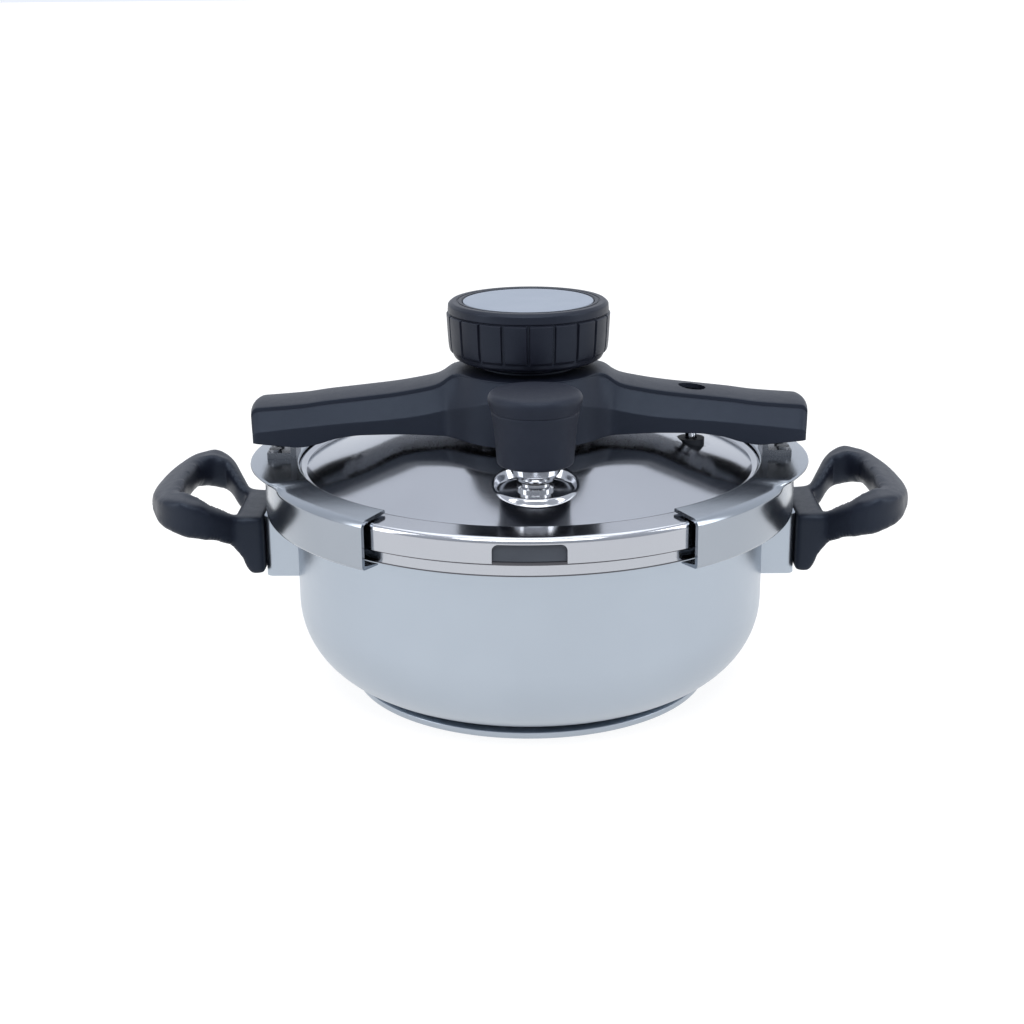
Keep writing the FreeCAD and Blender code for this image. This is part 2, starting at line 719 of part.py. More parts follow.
def make_regulator():
    """The part that lifts off the stem: a steel weight in a moulded cap."""
    foot = S["pad_top"] + 4.3
    weight = new_body("regulator_weight")
    revolve(weight, [
        (5.6, foot), (8.6, foot), (11.8, foot + 3.2, 14.0), (12.2, foot + 7.5), (12.2, foot + 12.0),
        (14.0, foot + 12.0), (14.0, foot + 30.0), (0.0, foot + 30.0), (0.0, foot + 19.5),
        (1.2, foot + 19.0), (4.2, foot + 16.0), (5.6, foot + 8.0)])
    cap = new_body("regulator_cap")
    low = foot + 8.2
    revolve(cap, [
        (12.2, low), (17.0, low, 1.4), (18.3, low + 1.3), (19.4, low + 18.0), (21.0, low + 26.0),
        (22.3, low + 30.5, 1.8), (21.4, low + 33.0, 9.0), (15.5, low + 35.4), (0.0, low + 35.8),
        (0.0, foot + 30.0), (14.0, foot + 30.0), (14.0, foot + 12.0), (12.2, foot + 12.0)])
    for body in (weight, cap):
        place(body, S["regulator_x"], S["regulator_y"], 0.0)


def make_indicator():
    """The pressure indicator that rises through the right arm of the bridge, and its grommet."""
    grommet = new_body("indicator_grommet")
    revolve(grommet, [(3.3, 118.5), (S["indicator_hole"], 118.5), (S["indicator_hole"], 127.0), (3.3, 127.0)])
    pin = new_body("indicator_pin")
    revolve(pin, [
        (0.0, 109.5), (5.0, 109.5), (5.0, 112.0), (3.0, 112.0), (3.0, 144.0), (5.4, 144.6),
        (5.4, 148.4), (4.4, 149.4), (0.0, 149.4)])
    for body in (grommet, pin):
        place(body, S["indicator_x"], 0.0, 0.0)


make_lid_shell()
make_gasket()
make_base_plate()
make_fixings_of_bridge()
make_bridge_cover()
make_bushes()
make_regulator_seat()
make_regulator()
make_indicator()


# ---------------------------------------------------------------- knob and cam

def make_knob():
    """The ribbed knob with its inlaid disc, the spindle under it and their screw."""
    low = S["knob_low"]
    top = S["knob_top"]
    body = new_body("knob_body")
    spindle = S["spindle_radius"]
    disc_floor = top - 1.6
    revolve(body, [
        (spindle, low + 1.0), (9.0, low + 1.0), (9.0, low + 16.0), (33.0, low + 16.0),
        (33.0, low), (34.4, low), (37.4, low + 1.6), (39.0, low + 5.0), (39.9, low + 12.0),
        (40.2, low + 23.6), (40.6, low + 24.4), (40.4, low + 28.4), (39.2, top),
        (S["disc_radius"] + 0.2, top), (S["disc_radius"] + 0.2, disc_floor),
        (6.0, disc_floor), (6.0, low + 21.5), (2.1, low + 21.5), (2.1, low + 19.5),
        (spindle, low + 19.5)])
    grip_radius = 41.2
    panel = prism(body, "XY", low + 4.0, 19.6, [[
        (39.0, -4.6), (40.9, -4.6, grip_radius), (40.9, 4.6), (39.0, 4.6)]])
    panels = body.newObject("PartDesign::PolarPattern", "panels")
    panels.Originals = [panel]
    panels.Axis = (panel.Profile[0], ["N_Axis"])
    panels.Angle = 360
    panels.Occurrences = 20
    body.Tip = panels
    disc = new_body("knob_disc")
    revolve(disc, [
        (0.0, disc_floor), (S["disc_radius"], disc_floor), (S["disc_radius"], top - 0.4),
        (S["disc_radius"] - 0.4, top), (0.0, top)])
    shaft = new_body("spindle")
    clip_groove = S["plate_low"] - 1.3
    revolve(shaft, [
        (0.0, S["dome_top"] + 0.8), (spindle, S["dome_top"] + 0.8), (spindle, clip_groove),
        (4.2, clip_groove), (4.2, clip_groove + 1.1), (spindle, clip_groove + 1.1),
        (spindle, S["cam_low"] + S["cam_thick"]), (8.0, S["cam_low"] + S["cam_thick"]),
        (8.0, 148.0), (spindle, 148.0), (spindle, low + 19.5), (2.0, low + 19.5),
        (2.0, low + 8.0), (0.0, low + 8.0)])
    clip = new_body("spindle_clip")
    prism(clip, "XY", clip_groove + 0.05, 1.0, [("ring", 0.0, 0.0, 7.5), ("ring", 0.0, 0.0, 4.2)])
    screw = new_body("knob_screw")
    revolve(screw, [
        (0.0, low + 9.0), (2.0, low + 9.0), (2.0, low + 21.5), (4.0, low + 21.5),
        (4.0, low + 23.6), (3.2, low + 24.6), (0.0, low + 24.6)])


def spiral_slot(turn):
    """One slot of the cam: the path of a follower pin, widened by the pin and its play."""
    closed = S["pin_closed"].value
    travel = S["jaw_travel"].value
    swing = math.radians(S["knob_turn"].value)
    half = S["pin_radius"].value + S["pin_gap"].value
    spread = 0.02
    inner = []
    outer = []
    steps = 24
    for i in range(steps + 1):
        part = -spread + (1 + 2 * spread) * i / steps
        angle = -swing * part
        radius = closed + travel * part
        centre = Vector(radius * math.cos(angle), radius * math.sin(angle), 0)
        # Along the path the radius grows while the angle falls.
        along = Vector(
            travel * math.cos(angle) + radius * swing * math.sin(angle),
            travel * math.sin(angle) - radius * swing * math.cos(angle), 0).normalize()
        side = Vector(-along.y, along.x, 0) * half
        inner.append(centre - side)
        outer.append(centre + side)
    edges = []
    for points in (inner, outer):
        curve = Part.BSplineCurve()
        curve.interpolate(points)
        edges.append(curve.toShape())
    low = S["cam_low"].value - 1.0
    high = S["cam_thick"].value + 2.0
    caps = []
    for first, last in ((inner[0], outer[0]), (outer[-1], inner[-1])):
        caps.append(Part.makeLine(first, last))
    wire = Part.Wire(Part.__sortEdges__(edges + caps))
    slot = Part.Face(wire).extrude(Vector(0, 0, high))
    for first, last in ((inner[0], outer[0]), (outer[-1], inner[-1])):
        middle = (first + last) * 0.5
        slot = slot.fuse(Part.makeCylinder(half, high, middle))
    slot.translate(Vector(0, 0, low))
    slot.rotate(Vector(0, 0, 0), Vector(0, 0, 1), turn)
    return slot


def make_cam():
    """The cam disc on the spindle: two spiral slots that drive the follower pins."""
    cam = doc.addObject("Part::Feature", "cam_plate")
    cam.Label = "cam_plate"
    low = S["cam_low"].value
    high = low + S["cam_thick"].value
    shape = cylinder(S["cam_radius"].value, low, high)
    shape = shape.cut(cylinder(S["spindle_radius"].value, low - 1, high + 1))
    for turn in (0, 180):
        shape = shape.cut(spiral_slot(turn))
    cam.Shape = shape


# ---------------------------------------------------------------- jaws

def make_jaw():
    """A C-section of polished sheet that grips the lid's ring and the pot's rim."""
    body = new_body("jaw_right")
    thick = S["jaw_sheet"]
    side = S["jaw_radius"]
    corner = 4.0
    lip_corner = 2.0
    slope = math.radians(5.5)
    lean = math.sin(slope)
    upright = math.cos(slope)
    bend = side - corner
    shoulder = S["jaw_shoulder"]
    inner_corner = corner - thick.value
    revolve(body, [
        (S["lip_inner"], S["jaw_low"]), (side - lip_corner, S["jaw_low"], lip_corner),
        (side, S["jaw_low"] + lip_corner), (side, shoulder, corner),
        (bend + corner * lean, shoulder + corner * upright), (S["jaw_inner"], S["jaw_top"]),
        (S["jaw_inner"], S["jaw_top"] - thick),
        (bend + inner_corner * lean, shoulder + inner_corner * upright, -inner_corner),
        (side - thick, shoulder), (side - thick, S["jaw_low"] + thick),
        (S["lip_inner"], S["jaw_low"] + thick)], angle=S["jaw_sweep"])
    tab_half = 63.0
    root = math.sqrt(S["jaw_radius"].value ** 2 - tab_half ** 2)
    sagitta = S["jaw_tab"].value - root
    tab_radius = (tab_half ** 2 + sagitta ** 2) / (2 * sagitta)
    inner = 128.0
    inner_x = math.sqrt(inner ** 2 - tab_half ** 2)
    prism(body, "XY", S["jaw_top"] - thick, thick, [[
        (root, -tab_half, tab_radius), (root, tab_half), (inner_x, tab_half, -inner),
        (inner_x, -tab_half)]])
    seat_half = 12.0
    prism(body, "XY", S["jaw_top"] - thick, thick, [
        box(S["jaw_inner"] + 0.5, -seat_half, 134.0, seat_half)])
    return body


def make_slide_arm():
    """The flat arm in the bridge: it carries the follower pin and is riveted to its jaw."""
    body = new_body("slide_arm_right")
    half = S["arm_half"]
    low = S["arm_low"]
    thick = S["arm_thick"]
    leg = 119.5
    start = 9.0
    prism(body, "XY", low, thick, [box(start, -half, thick + leg, half)])
    prism(body, "XY", S["jaw_top"], low + thick - S["jaw_top"], [box(leg, -half, thick + leg, half)])
    prism(body, "XY", S["jaw_top"], thick, [box(leg, -half, 134.5, half)])
    slot_end = S["indicator_x"]
    slot_start = slot_end - S["jaw_travel"]
    slot_half = 5.0
    prism(body, "XY", low - 1.0, 8.0, [box(slot_start, -slot_half, slot_end, slot_half)], cut=True)
    for x in (slot_start, slot_end):
        prism(body, "XY", low - 1.0, 8.0, [("ring", x, 0.0, slot_half)], cut=True)
    prism(body, "XY", low - 0.5, 8.0, [("ring", S["pin_closed"], 0.0, S["pin_radius"])], cut=True)
    for y in RIVET_PLACES:
        prism(body, "XY", 110.0, 14.0, [("ring", RIVET_X, y, RIVET_RADIUS)], cut=True)
    return body


RIVET_X = 130.6
RIVET_PLACES = [-5.0, 5.0]
RIVET_RADIUS = 1.8


def make_jaw_fixings():
    """Follower pins, and the two rivets that join each arm to its jaw."""
    rivet_low = S["jaw_top"].value - 3.0
    foot_top = S["jaw_top"].value + S["arm_thick"].value
    for name, side in (("right", 1), ("left", -1)):
        pin = doc.addObject("Part::Cylinder", "follower_pin_" + name)
        pin.Label = "follower_pin_" + name
        bind(pin, "Radius", S["pin_radius"])
        bind(pin, "Height", S["cam_low"] + S["cam_thick"] - 0.2 - S["arm_low"])
        place(pin, S["pin_closed"] * side, 0.0, S["arm_low"])
        rivets = []
        for y in RIVET_PLACES:
            x = RIVET_X * side
            rivet = cylinder(RIVET_RADIUS, rivet_low, foot_top + 0.4, x, y)
            head = cylinder(3.2, foot_top, foot_top + 1.4, x, y)
            rivets.append(rivet.fuse(head).removeSplitter())
        group("jaw_rivets_" + name, rivets)


make_knob()
make_cam()
jaw = make_jaw()
arm = make_slide_arm()
doc.recompute()
for y in RIVET_PLACES:
    prism(jaw, "XY", 110.0, 14.0, [("ring", RIVET_X, y, RIVET_RADIUS)], cut=True)
doc.recompute()
copy_of("jaw_left", jaw, 180)
copy_of("slide_arm_left", arm, 180)
make_jaw_fixings()


# ---------------------------------------------------------------- checks and export

def is_piece(thing):
    """True for a finished piece, and not for a sketch, a feature or a tool of another piece."""
    if thing.TypeId == "PartDesign::Body":
        return not any(user.TypeId in BOOLEANS for user in thing.InList)
    return thing.TypeId in ("Part::Feature", "Part::Cylinder", "Part::Cut") and not thing.InList


BOOLEANS = ("Part::Cut", "Part::Fuse", "Part::MultiFuse")


def export_parts():
    doc.recompute()
    parts = [thing for thing in doc.Objects if is_piece(thing)]
    for thing in doc.Objects:
        if "Invalid" in thing.State or "Error" in thing.State:
            raise RuntimeError("%s (%s) is not valid: %s" % (thing.Name, thing.Label, thing.State))
    os.makedirs("parts", exist_ok=True)
    for part in parts:
        if part.Shape.isNull() or not part.Shape.isValid() or not part.Shape.Solids:
            raise RuntimeError("bad shape in " + part.Label)
        part.Shape.exportStep(os.path.join("parts", part.Label + ".step"))
        print("%-24s %2d solids %9.0f mm3" % (part.Label, len(part.Shape.Solids), part.Shape.Volume))


export_parts()
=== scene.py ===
import math

import bmesh
import bpy
from mathutils import Matrix, Vector


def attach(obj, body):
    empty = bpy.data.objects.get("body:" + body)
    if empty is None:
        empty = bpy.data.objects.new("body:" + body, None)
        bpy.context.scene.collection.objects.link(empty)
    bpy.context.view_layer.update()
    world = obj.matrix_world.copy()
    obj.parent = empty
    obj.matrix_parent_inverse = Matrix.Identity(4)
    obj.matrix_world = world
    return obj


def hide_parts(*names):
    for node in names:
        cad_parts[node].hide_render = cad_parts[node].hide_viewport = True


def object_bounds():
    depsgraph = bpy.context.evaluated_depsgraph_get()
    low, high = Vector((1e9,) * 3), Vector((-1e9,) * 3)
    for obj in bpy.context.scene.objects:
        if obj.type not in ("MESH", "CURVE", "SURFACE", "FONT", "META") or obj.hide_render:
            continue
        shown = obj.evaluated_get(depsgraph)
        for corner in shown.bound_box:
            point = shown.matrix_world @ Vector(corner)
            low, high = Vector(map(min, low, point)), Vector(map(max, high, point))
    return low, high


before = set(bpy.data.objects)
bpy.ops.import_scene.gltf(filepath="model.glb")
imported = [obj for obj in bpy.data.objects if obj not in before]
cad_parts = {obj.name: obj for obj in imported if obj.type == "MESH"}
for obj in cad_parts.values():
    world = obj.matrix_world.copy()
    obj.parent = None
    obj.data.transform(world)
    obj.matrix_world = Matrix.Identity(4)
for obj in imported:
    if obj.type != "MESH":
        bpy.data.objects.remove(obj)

# Looks of the stovetop pressure cooker. Shapes are written in millimetres and
# scaled to metres when their meshes are made.

MM = 0.001
SMALL_ARC = 3.0
SMALL_ARC_STEP = 15.0
LARGE_ARC_STEP = 5.0
MERGE_DISTANCE = 1e-6
DEGENERATE_EDGE = 1e-7
cad_low, cad_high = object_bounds()


# ---------------------------------------------------------------- outlines

def rounded(corners, closed=True, support=0.35):
    """Points of an outline whose corners (a, b, radius) are rounded.

    A support point beside each arc holds the shading of the flat parts.
    """
    points = []
    count = len(corners)
    for i, corner in enumerate(corners):
        here = Vector(corner[:2])
        radius = corner[2] if len(corner) > 2 else 0.0
        at_end = not closed and i in (0, count - 1)
        if radius <= 0.0 or at_end:
            points.append(here)
            continue
        before = Vector(corners[i - 1][:2]) - here
        after = Vector(corners[(i + 1) % count][:2]) - here
        turn = math.pi - before.angle(after)
        reach = radius * math.tan(turn / 2)
        reach = min(reach, 0.49 * before.length, 0.49 * after.length)
        radius = reach / math.tan(turn / 2)
        before.normalize()
        after.normalize()
        middle = here + (before + after).normalized() * (radius / math.cos(turn / 2))
        start = here + before * reach
        end = here + after * reach
        step = SMALL_ARC_STEP if radius < SMALL_ARC else LARGE_ARC_STEP
        steps = max(3, math.ceil(math.degrees(turn) / step))
        points.append(start + before * support * min(1.0, radius))
        for k in range(steps + 1):
            share = k / steps
            flat = start.lerp(end, share) - middle
            if flat.length < 1e-9:
                points.append(here)
                continue
            angle = (share - 0.5) * turn
            points.append(middle + turned(start - middle, end - middle, angle, turn))
        points.append(end + after * support * min(1.0, radius))
    return [(p.x, p.y) for p in points]


def turned(start, end, angle, turn):
    """The arm start turned towards end by angle + turn / 2."""
    side = 1.0 if start.x * end.y - start.y * end.x > 0 else -1.0
    full = side * (angle + turn / 2)
    return Vector((start.x * math.cos(full) - start.y * math.sin(full),
                   start.x * math.sin(full) + start.y * math.cos(full)))


def flowing(points, steps=6):
    """A smooth run of points through the given ones."""
    run = []
    for i in range(len(points) - 1):
        p0 = Vector(points[max(i - 1, 0)])
        p1 = Vector(points[i])
        p2 = Vector(points[i + 1])
        p3 = Vector(points[min(i + 2, len(points) - 1)])
        for k in range(steps):
            t = k / steps
            p = 0.5 * (2 * p1 + (p2 - p0) * t + (2 * p0 - 5 * p1 + 4 * p2 - p3) * t * t
                       + (3 * p1 - p0 - 3 * p2 + p3) * t ** 3)
            run.append(tuple(p))
    run.append(tuple(points[-1]))
    return run


def along(table, x):
    """Smooth value at x of a table of (x, value) pairs with rising x."""
    if x <= table[0][0]:
        return table[0][1]
    if x >= table[-1][0]:
        return table[-1][1]
    for i in range(len(table) - 1):
        if x <= table[i + 1][0]:
            break
    x0, y0 = table[i]
    x1, y1 = table[i + 1]

    def slope(j):
        if j <= 0 or j >= len(table) - 1:
            return 0.0 if j <= 0 else (table[j][1] - table[j - 1][1]) / (table[j][0] - table[j - 1][0])
        left = (table[j][1] - table[j - 1][1]) / (table[j][0] - table[j - 1][0])
        right = (table[j + 1][1] - table[j][1]) / (table[j + 1][0] - table[j][0])
        return 0.0 if left * right <= 0 else 2 * left * right / (left + right)

    step = x1 - x0
    t = (x - x0) / step
    return ((2 * t ** 3 - 3 * t ** 2 + 1) * y0 + (t ** 3 - 2 * t ** 2 + t) * step * slope(i)
            + (-2 * t ** 3 + 3 * t ** 2) * y1 + (t ** 3 - t ** 2) * step * slope(i + 1))


def smoothstep(low, high, x):
    t = min(max((x - low) / (high - low), 0.0), 1.0)
    return t * t * (3 - 2 * t)


def smooth_max(a, b, soft):
    """The larger of two values, rounded over the distance soft."""
    h = max(soft - abs(a - b), 0.0) / soft
    return max(a, b) + h * h * soft * 0.25


# ---------------------------------------------------------------- meshes

def piece(name, vertices, faces, materials, body, replaced, sharp=32.0, paint=None):
    """One mesh object that rides on a body and stands for the CAD nodes named in replaced."""
    mesh = bpy.data.meshes.new(name)
    mesh.from_pydata([Vector(v) * MM for v in vertices], [], faces)
    work = bmesh.new()
    work.from_mesh(mesh)
    bmesh.ops.remove_doubles(work, verts=work.verts, dist=MERGE_DISTANCE)
    bmesh.ops.dissolve_degenerate(work, edges=work.edges, dist=DEGENERATE_EDGE)
    bmesh.ops.recalc_face_normals(work, faces=work.faces)
    work.to_mesh(mesh)
    work.free()
    mesh.shade_smooth()
    mesh.set_sharp_from_angle(angle=math.radians(sharp))
    for material in materials:
        mesh.materials.append(material)
    if paint:
        for polygon in mesh.polygons:
            polygon.material_index = paint(polygon.center / MM)
    thing = bpy.data.objects.new(name, mesh)
    bpy.context.scene.collection.objects.link(thing)
    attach(thing, body)
    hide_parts(*replaced)


def lathe(points, segments=256, x=0.0, y=0.0, closed=True, radius_at=None):
    """Vertices and faces of an outline of (radius, height) points turned about a vertical axis.

    radius_at(point, column, radius) may change the radius round the axis.
    """
    vertices = []
    faces = []
    rings = []
    for index, (radius, height) in enumerate(points):
        if radius < 1e-4:
            rings.append([len(vertices)])
            vertices.append((x, y, height))
            continue
        rings.append(list(range(len(vertices), len(vertices) + segments)))
        for i in range(segments):
            angle = 2 * math.pi * i / segments
            here = radius_at(index, i, radius) if radius_at else radius
            vertices.append((x + here * math.cos(angle), y + here * math.sin(angle), height))
    pairs = list(zip(rings, rings[1:]))
    if closed:
        pairs.append((rings[-1], rings[0]))
    for low, high in pairs:
        if len(low) == 1 and len(high) == 1:
            continue
        for i in range(segments):
            j = (i + 1) % segments
            if len(low) == 1:
                faces.append((low[0], high[j], high[i]))
            elif len(high) == 1:
                faces.append((low[i], low[j], high[0]))
            else:
                faces.append((low[i], low[j], high[j], high[i]))
    return vertices, faces


def thickened(vertices, faces, offsets):
    """A sheet given a back, one offset per vertex, with its open edges closed."""
    count = len(vertices)
    back = [tuple(Vector(v) + Vector(o)) for v, o in zip(vertices, offsets)]
    edges = {}
    for face in faces:
        for a, b in zip(face, face[1:] + face[:1]):
            edges[(a, b)] = edges.get((a, b), 0) + 1
    rim = [(b, a, a + count, b + count) for a, b in edges if (b, a) not in edges]
    reverse = [tuple(i + count for i in face[::-1]) for face in faces]
    return vertices + back, faces + reverse + rim


def punched(vertices, faces, x, y, radius, reach):
    """Open a round hole in the part of a sheet above the height reach.

    The faces inside the circle go, and the edge left behind is drawn to the circle.
    """
    kept = []
    touched = set()
    for face in faces:
        middle = sum((Vector(vertices[i]) for i in face), Vector()) / len(face)
        if math.hypot(middle.x - x, middle.y - y) < radius and middle.z > reach:
            touched.update(face)
        else:
            kept.append(face)
    used = {i for face in kept for i in face}
    moved = list(vertices)
    for i in touched & used:
        away = Vector((vertices[i][0] - x, vertices[i][1] - y))
        away = away.normalized() * radius
        moved[i] = (x + away.x, y + away.y, vertices[i][2])
    return moved, kept


# ---------------------------------------------------------------- materials

def scaled_coordinates(tree, scale, round_the_axis):
    """Object coordinates in millimetres, or (angle, height, radius) for surfaces worked on a lathe."""
    links = tree.links
    source = tree.nodes.new("ShaderNodeTexCoord")
    mapping = tree.nodes.new("ShaderNodeMapping")
    mapping.inputs["Scale"].default_value = scale
    if not round_the_axis:
        links.new(source.outputs["Object"], mapping.inputs["Vector"])
        return mapping.outputs["Vector"]
    split = tree.nodes.new("ShaderNodeSeparateXYZ")
    links.new(source.outputs["Object"], split.inputs["Vector"])
    angle = tree.nodes.new("ShaderNodeMath")
    angle.operation = "ARCTAN2"
    links.new(split.outputs["Y"], angle.inputs[0])
    links.new(split.outputs["X"], angle.inputs[1])
    flat = tree.nodes.new("ShaderNodeVectorMath")
    flat.operation = "MULTIPLY"
    flat.inputs[1].default_value = (1.0, 1.0, 0.0)
    links.new(source.outputs["Object"], flat.inputs[0])
    radius = tree.nodes.new("ShaderNodeVectorMath")
    radius.operation = "LENGTH"
    links.new(flat.outputs["Vector"], radius.inputs[0])
    join = tree.nodes.new("ShaderNodeCombineXYZ")
    links.new(angle.outputs[0], join.inputs["X"])
    links.new(split.outputs["Z"], join.inputs["Y"])
    links.new(radius.outputs["Value"], join.inputs["Z"])
    links.new(join.outputs["Vector"], mapping.inputs["Vector"])
    return mapping.outputs["Vector"]


def noise(tree, vector, detail, rough=0.55):
    node = tree.nodes.new("ShaderNodeTexNoise")
    node.inputs["Scale"].default_value = 1.0
    node.inputs["Detail"].default_value = detail
    node.inputs["Roughness"].default_value = rough
    tree.links.new(vector, node.inputs["Vector"])
    return node.outputs["Fac"]


def ranged(tree, value, low, high, from_low=0.3, from_high=0.7):
    node = tree.nodes.new("ShaderNodeMapRange")
    node.inputs["From Min"].default_value = from_low
    node.inputs["From Max"].default_value = from_high
    node.inputs["To Min"].default_value = low
    node.inputs["To Max"].default_value = high
    tree.links.new(value, node.inputs["Value"])
    return node.outputs["Result"]


def surface(name, colour, other, metallic, roughness, patch, grain, depth, turned_work=False,
            worn=(60.0, 60.0, 60.0), ior=1.5, strength=0.25, gloss=(1.0, 1.0, 1.0)):
    """A material with slow changes of colour and roughness and a fine grain in relief.

    colour and other are mixed by slow patches; roughness is a (low, high) pair; patch, grain and
    worn are the scales of the noises behind the patches, the grain and the roughness; depth is the
    height of the grain in metres and strength its weight; turned_work runs the grain round the
    vertical axis; gloss tints the reflection of a plastic.
    """
    material = bpy.data.materials.new(name)
    material.use_nodes = True
    tree = material.node_tree
    links = tree.links
    shader = tree.nodes["Principled BSDF"]
    shader.inputs["Metallic"].default_value = metallic
    shader.inputs["IOR"].default_value = ior
    shader.inputs["Specular Tint"].default_value = (*gloss, 1.0)
    slow = noise(tree, scaled_coordinates(tree, patch, False), detail=3.0)
    fine = noise(tree, scaled_coordinates(tree, grain, turned_work), detail=5.0, rough=0.6)
    use = noise(tree, scaled_coordinates(tree, worn, False), detail=6.0, rough=0.65)
    mix = tree.nodes.new("ShaderNodeMix")
    mix.data_type = "RGBA"
    mix.inputs["A"].default_value = (*colour, 1.0)
    mix.inputs["B"].default_value = (*other, 1.0)
    links.new(ranged(tree, slow, 0.0, 1.0), mix.inputs["Factor"])
    links.new(mix.outputs["Result"], shader.inputs["Base Color"])
    blend = tree.nodes.new("ShaderNodeMath")
    blend.operation = "ADD"
    middle = (roughness[0] + roughness[1]) / 2
    spread = (roughness[1] - roughness[0]) / 2
    links.new(ranged(tree, fine, middle - spread, middle), blend.inputs[0])
    links.new(ranged(tree, use, 0.0, spread), blend.inputs[1])
    links.new(blend.outputs[0], shader.inputs["Roughness"])
    bump = tree.nodes.new("ShaderNodeBump")
    bump.inputs["Strength"].default_value = strength
    bump.inputs["Distance"].default_value = depth
    links.new(fine, bump.inputs["Height"])
    links.new(bump.outputs["Normal"], shader.inputs["Normal"])
    return material


TURNED = (6.0, 1900.0, 1900.0)
BLUISH = (0.66, 0.80, 1.0)
satin = surface("satin_steel_look", (0.400, 0.447, 0.505), (0.380, 0.425, 0.482), 1.0, (0.30, 0.38),
                (14.0, 14.0, 9.0), TURNED, 0.00003, turned_work=True, strength=0.30)
mirror = surface("polished_steel_look", (0.430, 0.445, 0.480), (0.410, 0.425, 0.460), 1.0, (0.11, 0.16),
                 (18.0, 18.0, 18.0), (5.0, 1400.0, 1400.0), 0.000012, turned_work=True,
                 worn=(140.0, 140.0, 90.0), strength=0.10)
inside_steel = surface("inside_steel_look", (0.52, 0.53, 0.55), (0.48, 0.49, 0.51), 1.0, (0.22, 0.32),
                       (14.0, 14.0, 14.0), TURNED, 0.00003, turned_work=True)
clamp_steel = surface("clamp_steel_look", (0.335, 0.365, 0.405), (0.315, 0.345, 0.385), 1.0, (0.17, 0.24),
                      (18.0, 18.0, 18.0), (5.0, 1400.0, 1400.0), 0.000012, turned_work=True,
                      worn=(140.0, 140.0, 90.0), strength=0.10)
# Painted shadow: dark steel painted on the rim's top and bottom edges, standing in for the shade in the
# gap under the lid's skirt and under the rolled rim.
painted_shadow_steel = surface("painted_shadow_steel_look", (0.10, 0.10, 0.11), (0.08, 0.08, 0.09), 1.0, (0.30, 0.42),
               (14.0, 14.0, 14.0), TURNED, 0.00003, turned_work=True)
bright = surface("bright_steel_look", (0.62, 0.63, 0.65), (0.56, 0.57, 0.59), 1.0, (0.07, 0.16),
                 (90.0, 90.0, 90.0), (900.0, 900.0, 3000.0), 0.00001, worn=(300.0, 300.0, 300.0),
                 strength=0.15)
zinc = surface("zinc_steel_look", (0.26, 0.27, 0.29), (0.22, 0.23, 0.25), 1.0, (0.22, 0.36),
               (120.0, 120.0, 120.0), (700.0, 3200.0, 700.0), 0.00002, worn=(260.0, 260.0, 260.0))
aluminium = surface("aluminium_look", (0.60, 0.61, 0.62), (0.54, 0.55, 0.56), 1.0, (0.35, 0.5),
                    (60.0, 60.0, 60.0), TURNED, 0.00003, turned_work=True)
bronze = surface("bronze_look", (0.45, 0.30, 0.15), (0.38, 0.25, 0.12), 1.0, (0.28, 0.42),
                 (200.0, 200.0, 200.0), (1500.0, 1500.0, 1500.0), 0.00003)
phenolic = surface("black_phenolic_look", (0.0042, 0.0052, 0.0105), (0.0056, 0.0068, 0.0130), 0.0,
                   (0.36, 0.50), (45.0, 45.0, 45.0), (1500.0, 1500.0, 1500.0), 0.00006,
                   worn=(220.0, 220.0, 220.0), ior=1.40, strength=0.30, gloss=BLUISH)
nylon = surface("black_nylon_look", (0.0042, 0.0052, 0.0105), (0.0056, 0.0068, 0.0130), 0.0,
                (0.40, 0.52), (40.0, 40.0, 40.0), (1800.0, 1800.0, 1800.0), 0.00006,
                worn=(260.0, 260.0, 260.0), ior=1.38, strength=0.35, gloss=BLUISH)
knob_black = surface("black_knob_look", (0.006, 0.0068, 0.012), (0.008, 0.0088, 0.015), 0.0,
                     (0.34, 0.46), (60.0, 60.0, 60.0), (1800.0, 1800.0, 1800.0), 0.00005,
                     worn=(260.0, 260.0, 260.0), ior=1.34, strength=0.30, gloss=BLUISH)
cap_black = surface("black_cap_look", (0.0065, 0.0075, 0.0135), (0.0085, 0.0095, 0.0165), 0.0,
                    (0.46, 0.58), (70.0, 70.0, 70.0), (1700.0, 1700.0, 1700.0), 0.00007,
                    worn=(240.0, 240.0, 240.0), ior=1.36, strength=0.35, gloss=BLUISH)
inlay = surface("grey_inlay_look", (0.295, 0.335, 0.40), (0.275, 0.315, 0.38), 0.75, (0.34, 0.42),
                (40.0, 40.0, 40.0), (5.0, 1500.0, 2400.0), 0.00002, turned_work=True, strength=0.2)
silicone = surface("silicone_look", (0.036, 0.043, 0.056), (0.030, 0.036, 0.048), 0.0, (0.42, 0.6),
                   (60.0, 60.0, 60.0), (900.0, 900.0, 900.0), 0.00008, ior=1.43)

CAD_LOOKS = {
    "satin_steel": satin, "polished_steel": mirror, "bright_steel": bright, "zinc_steel": zinc,
    "aluminium": aluminium, "bronze": bronze, "black_phenolic": phenolic, "black_nylon": nylon,
    "black_cap": cap_black, "grey_inlay": inlay, "silicone": silicone,
}
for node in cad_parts.values():
    for index, old in enumerate(node.data.materials):
        node.data.materials[index] = CAD_LOOKS[old.name.split(".")[0]]


# ---------------------------------------------------------------- pot

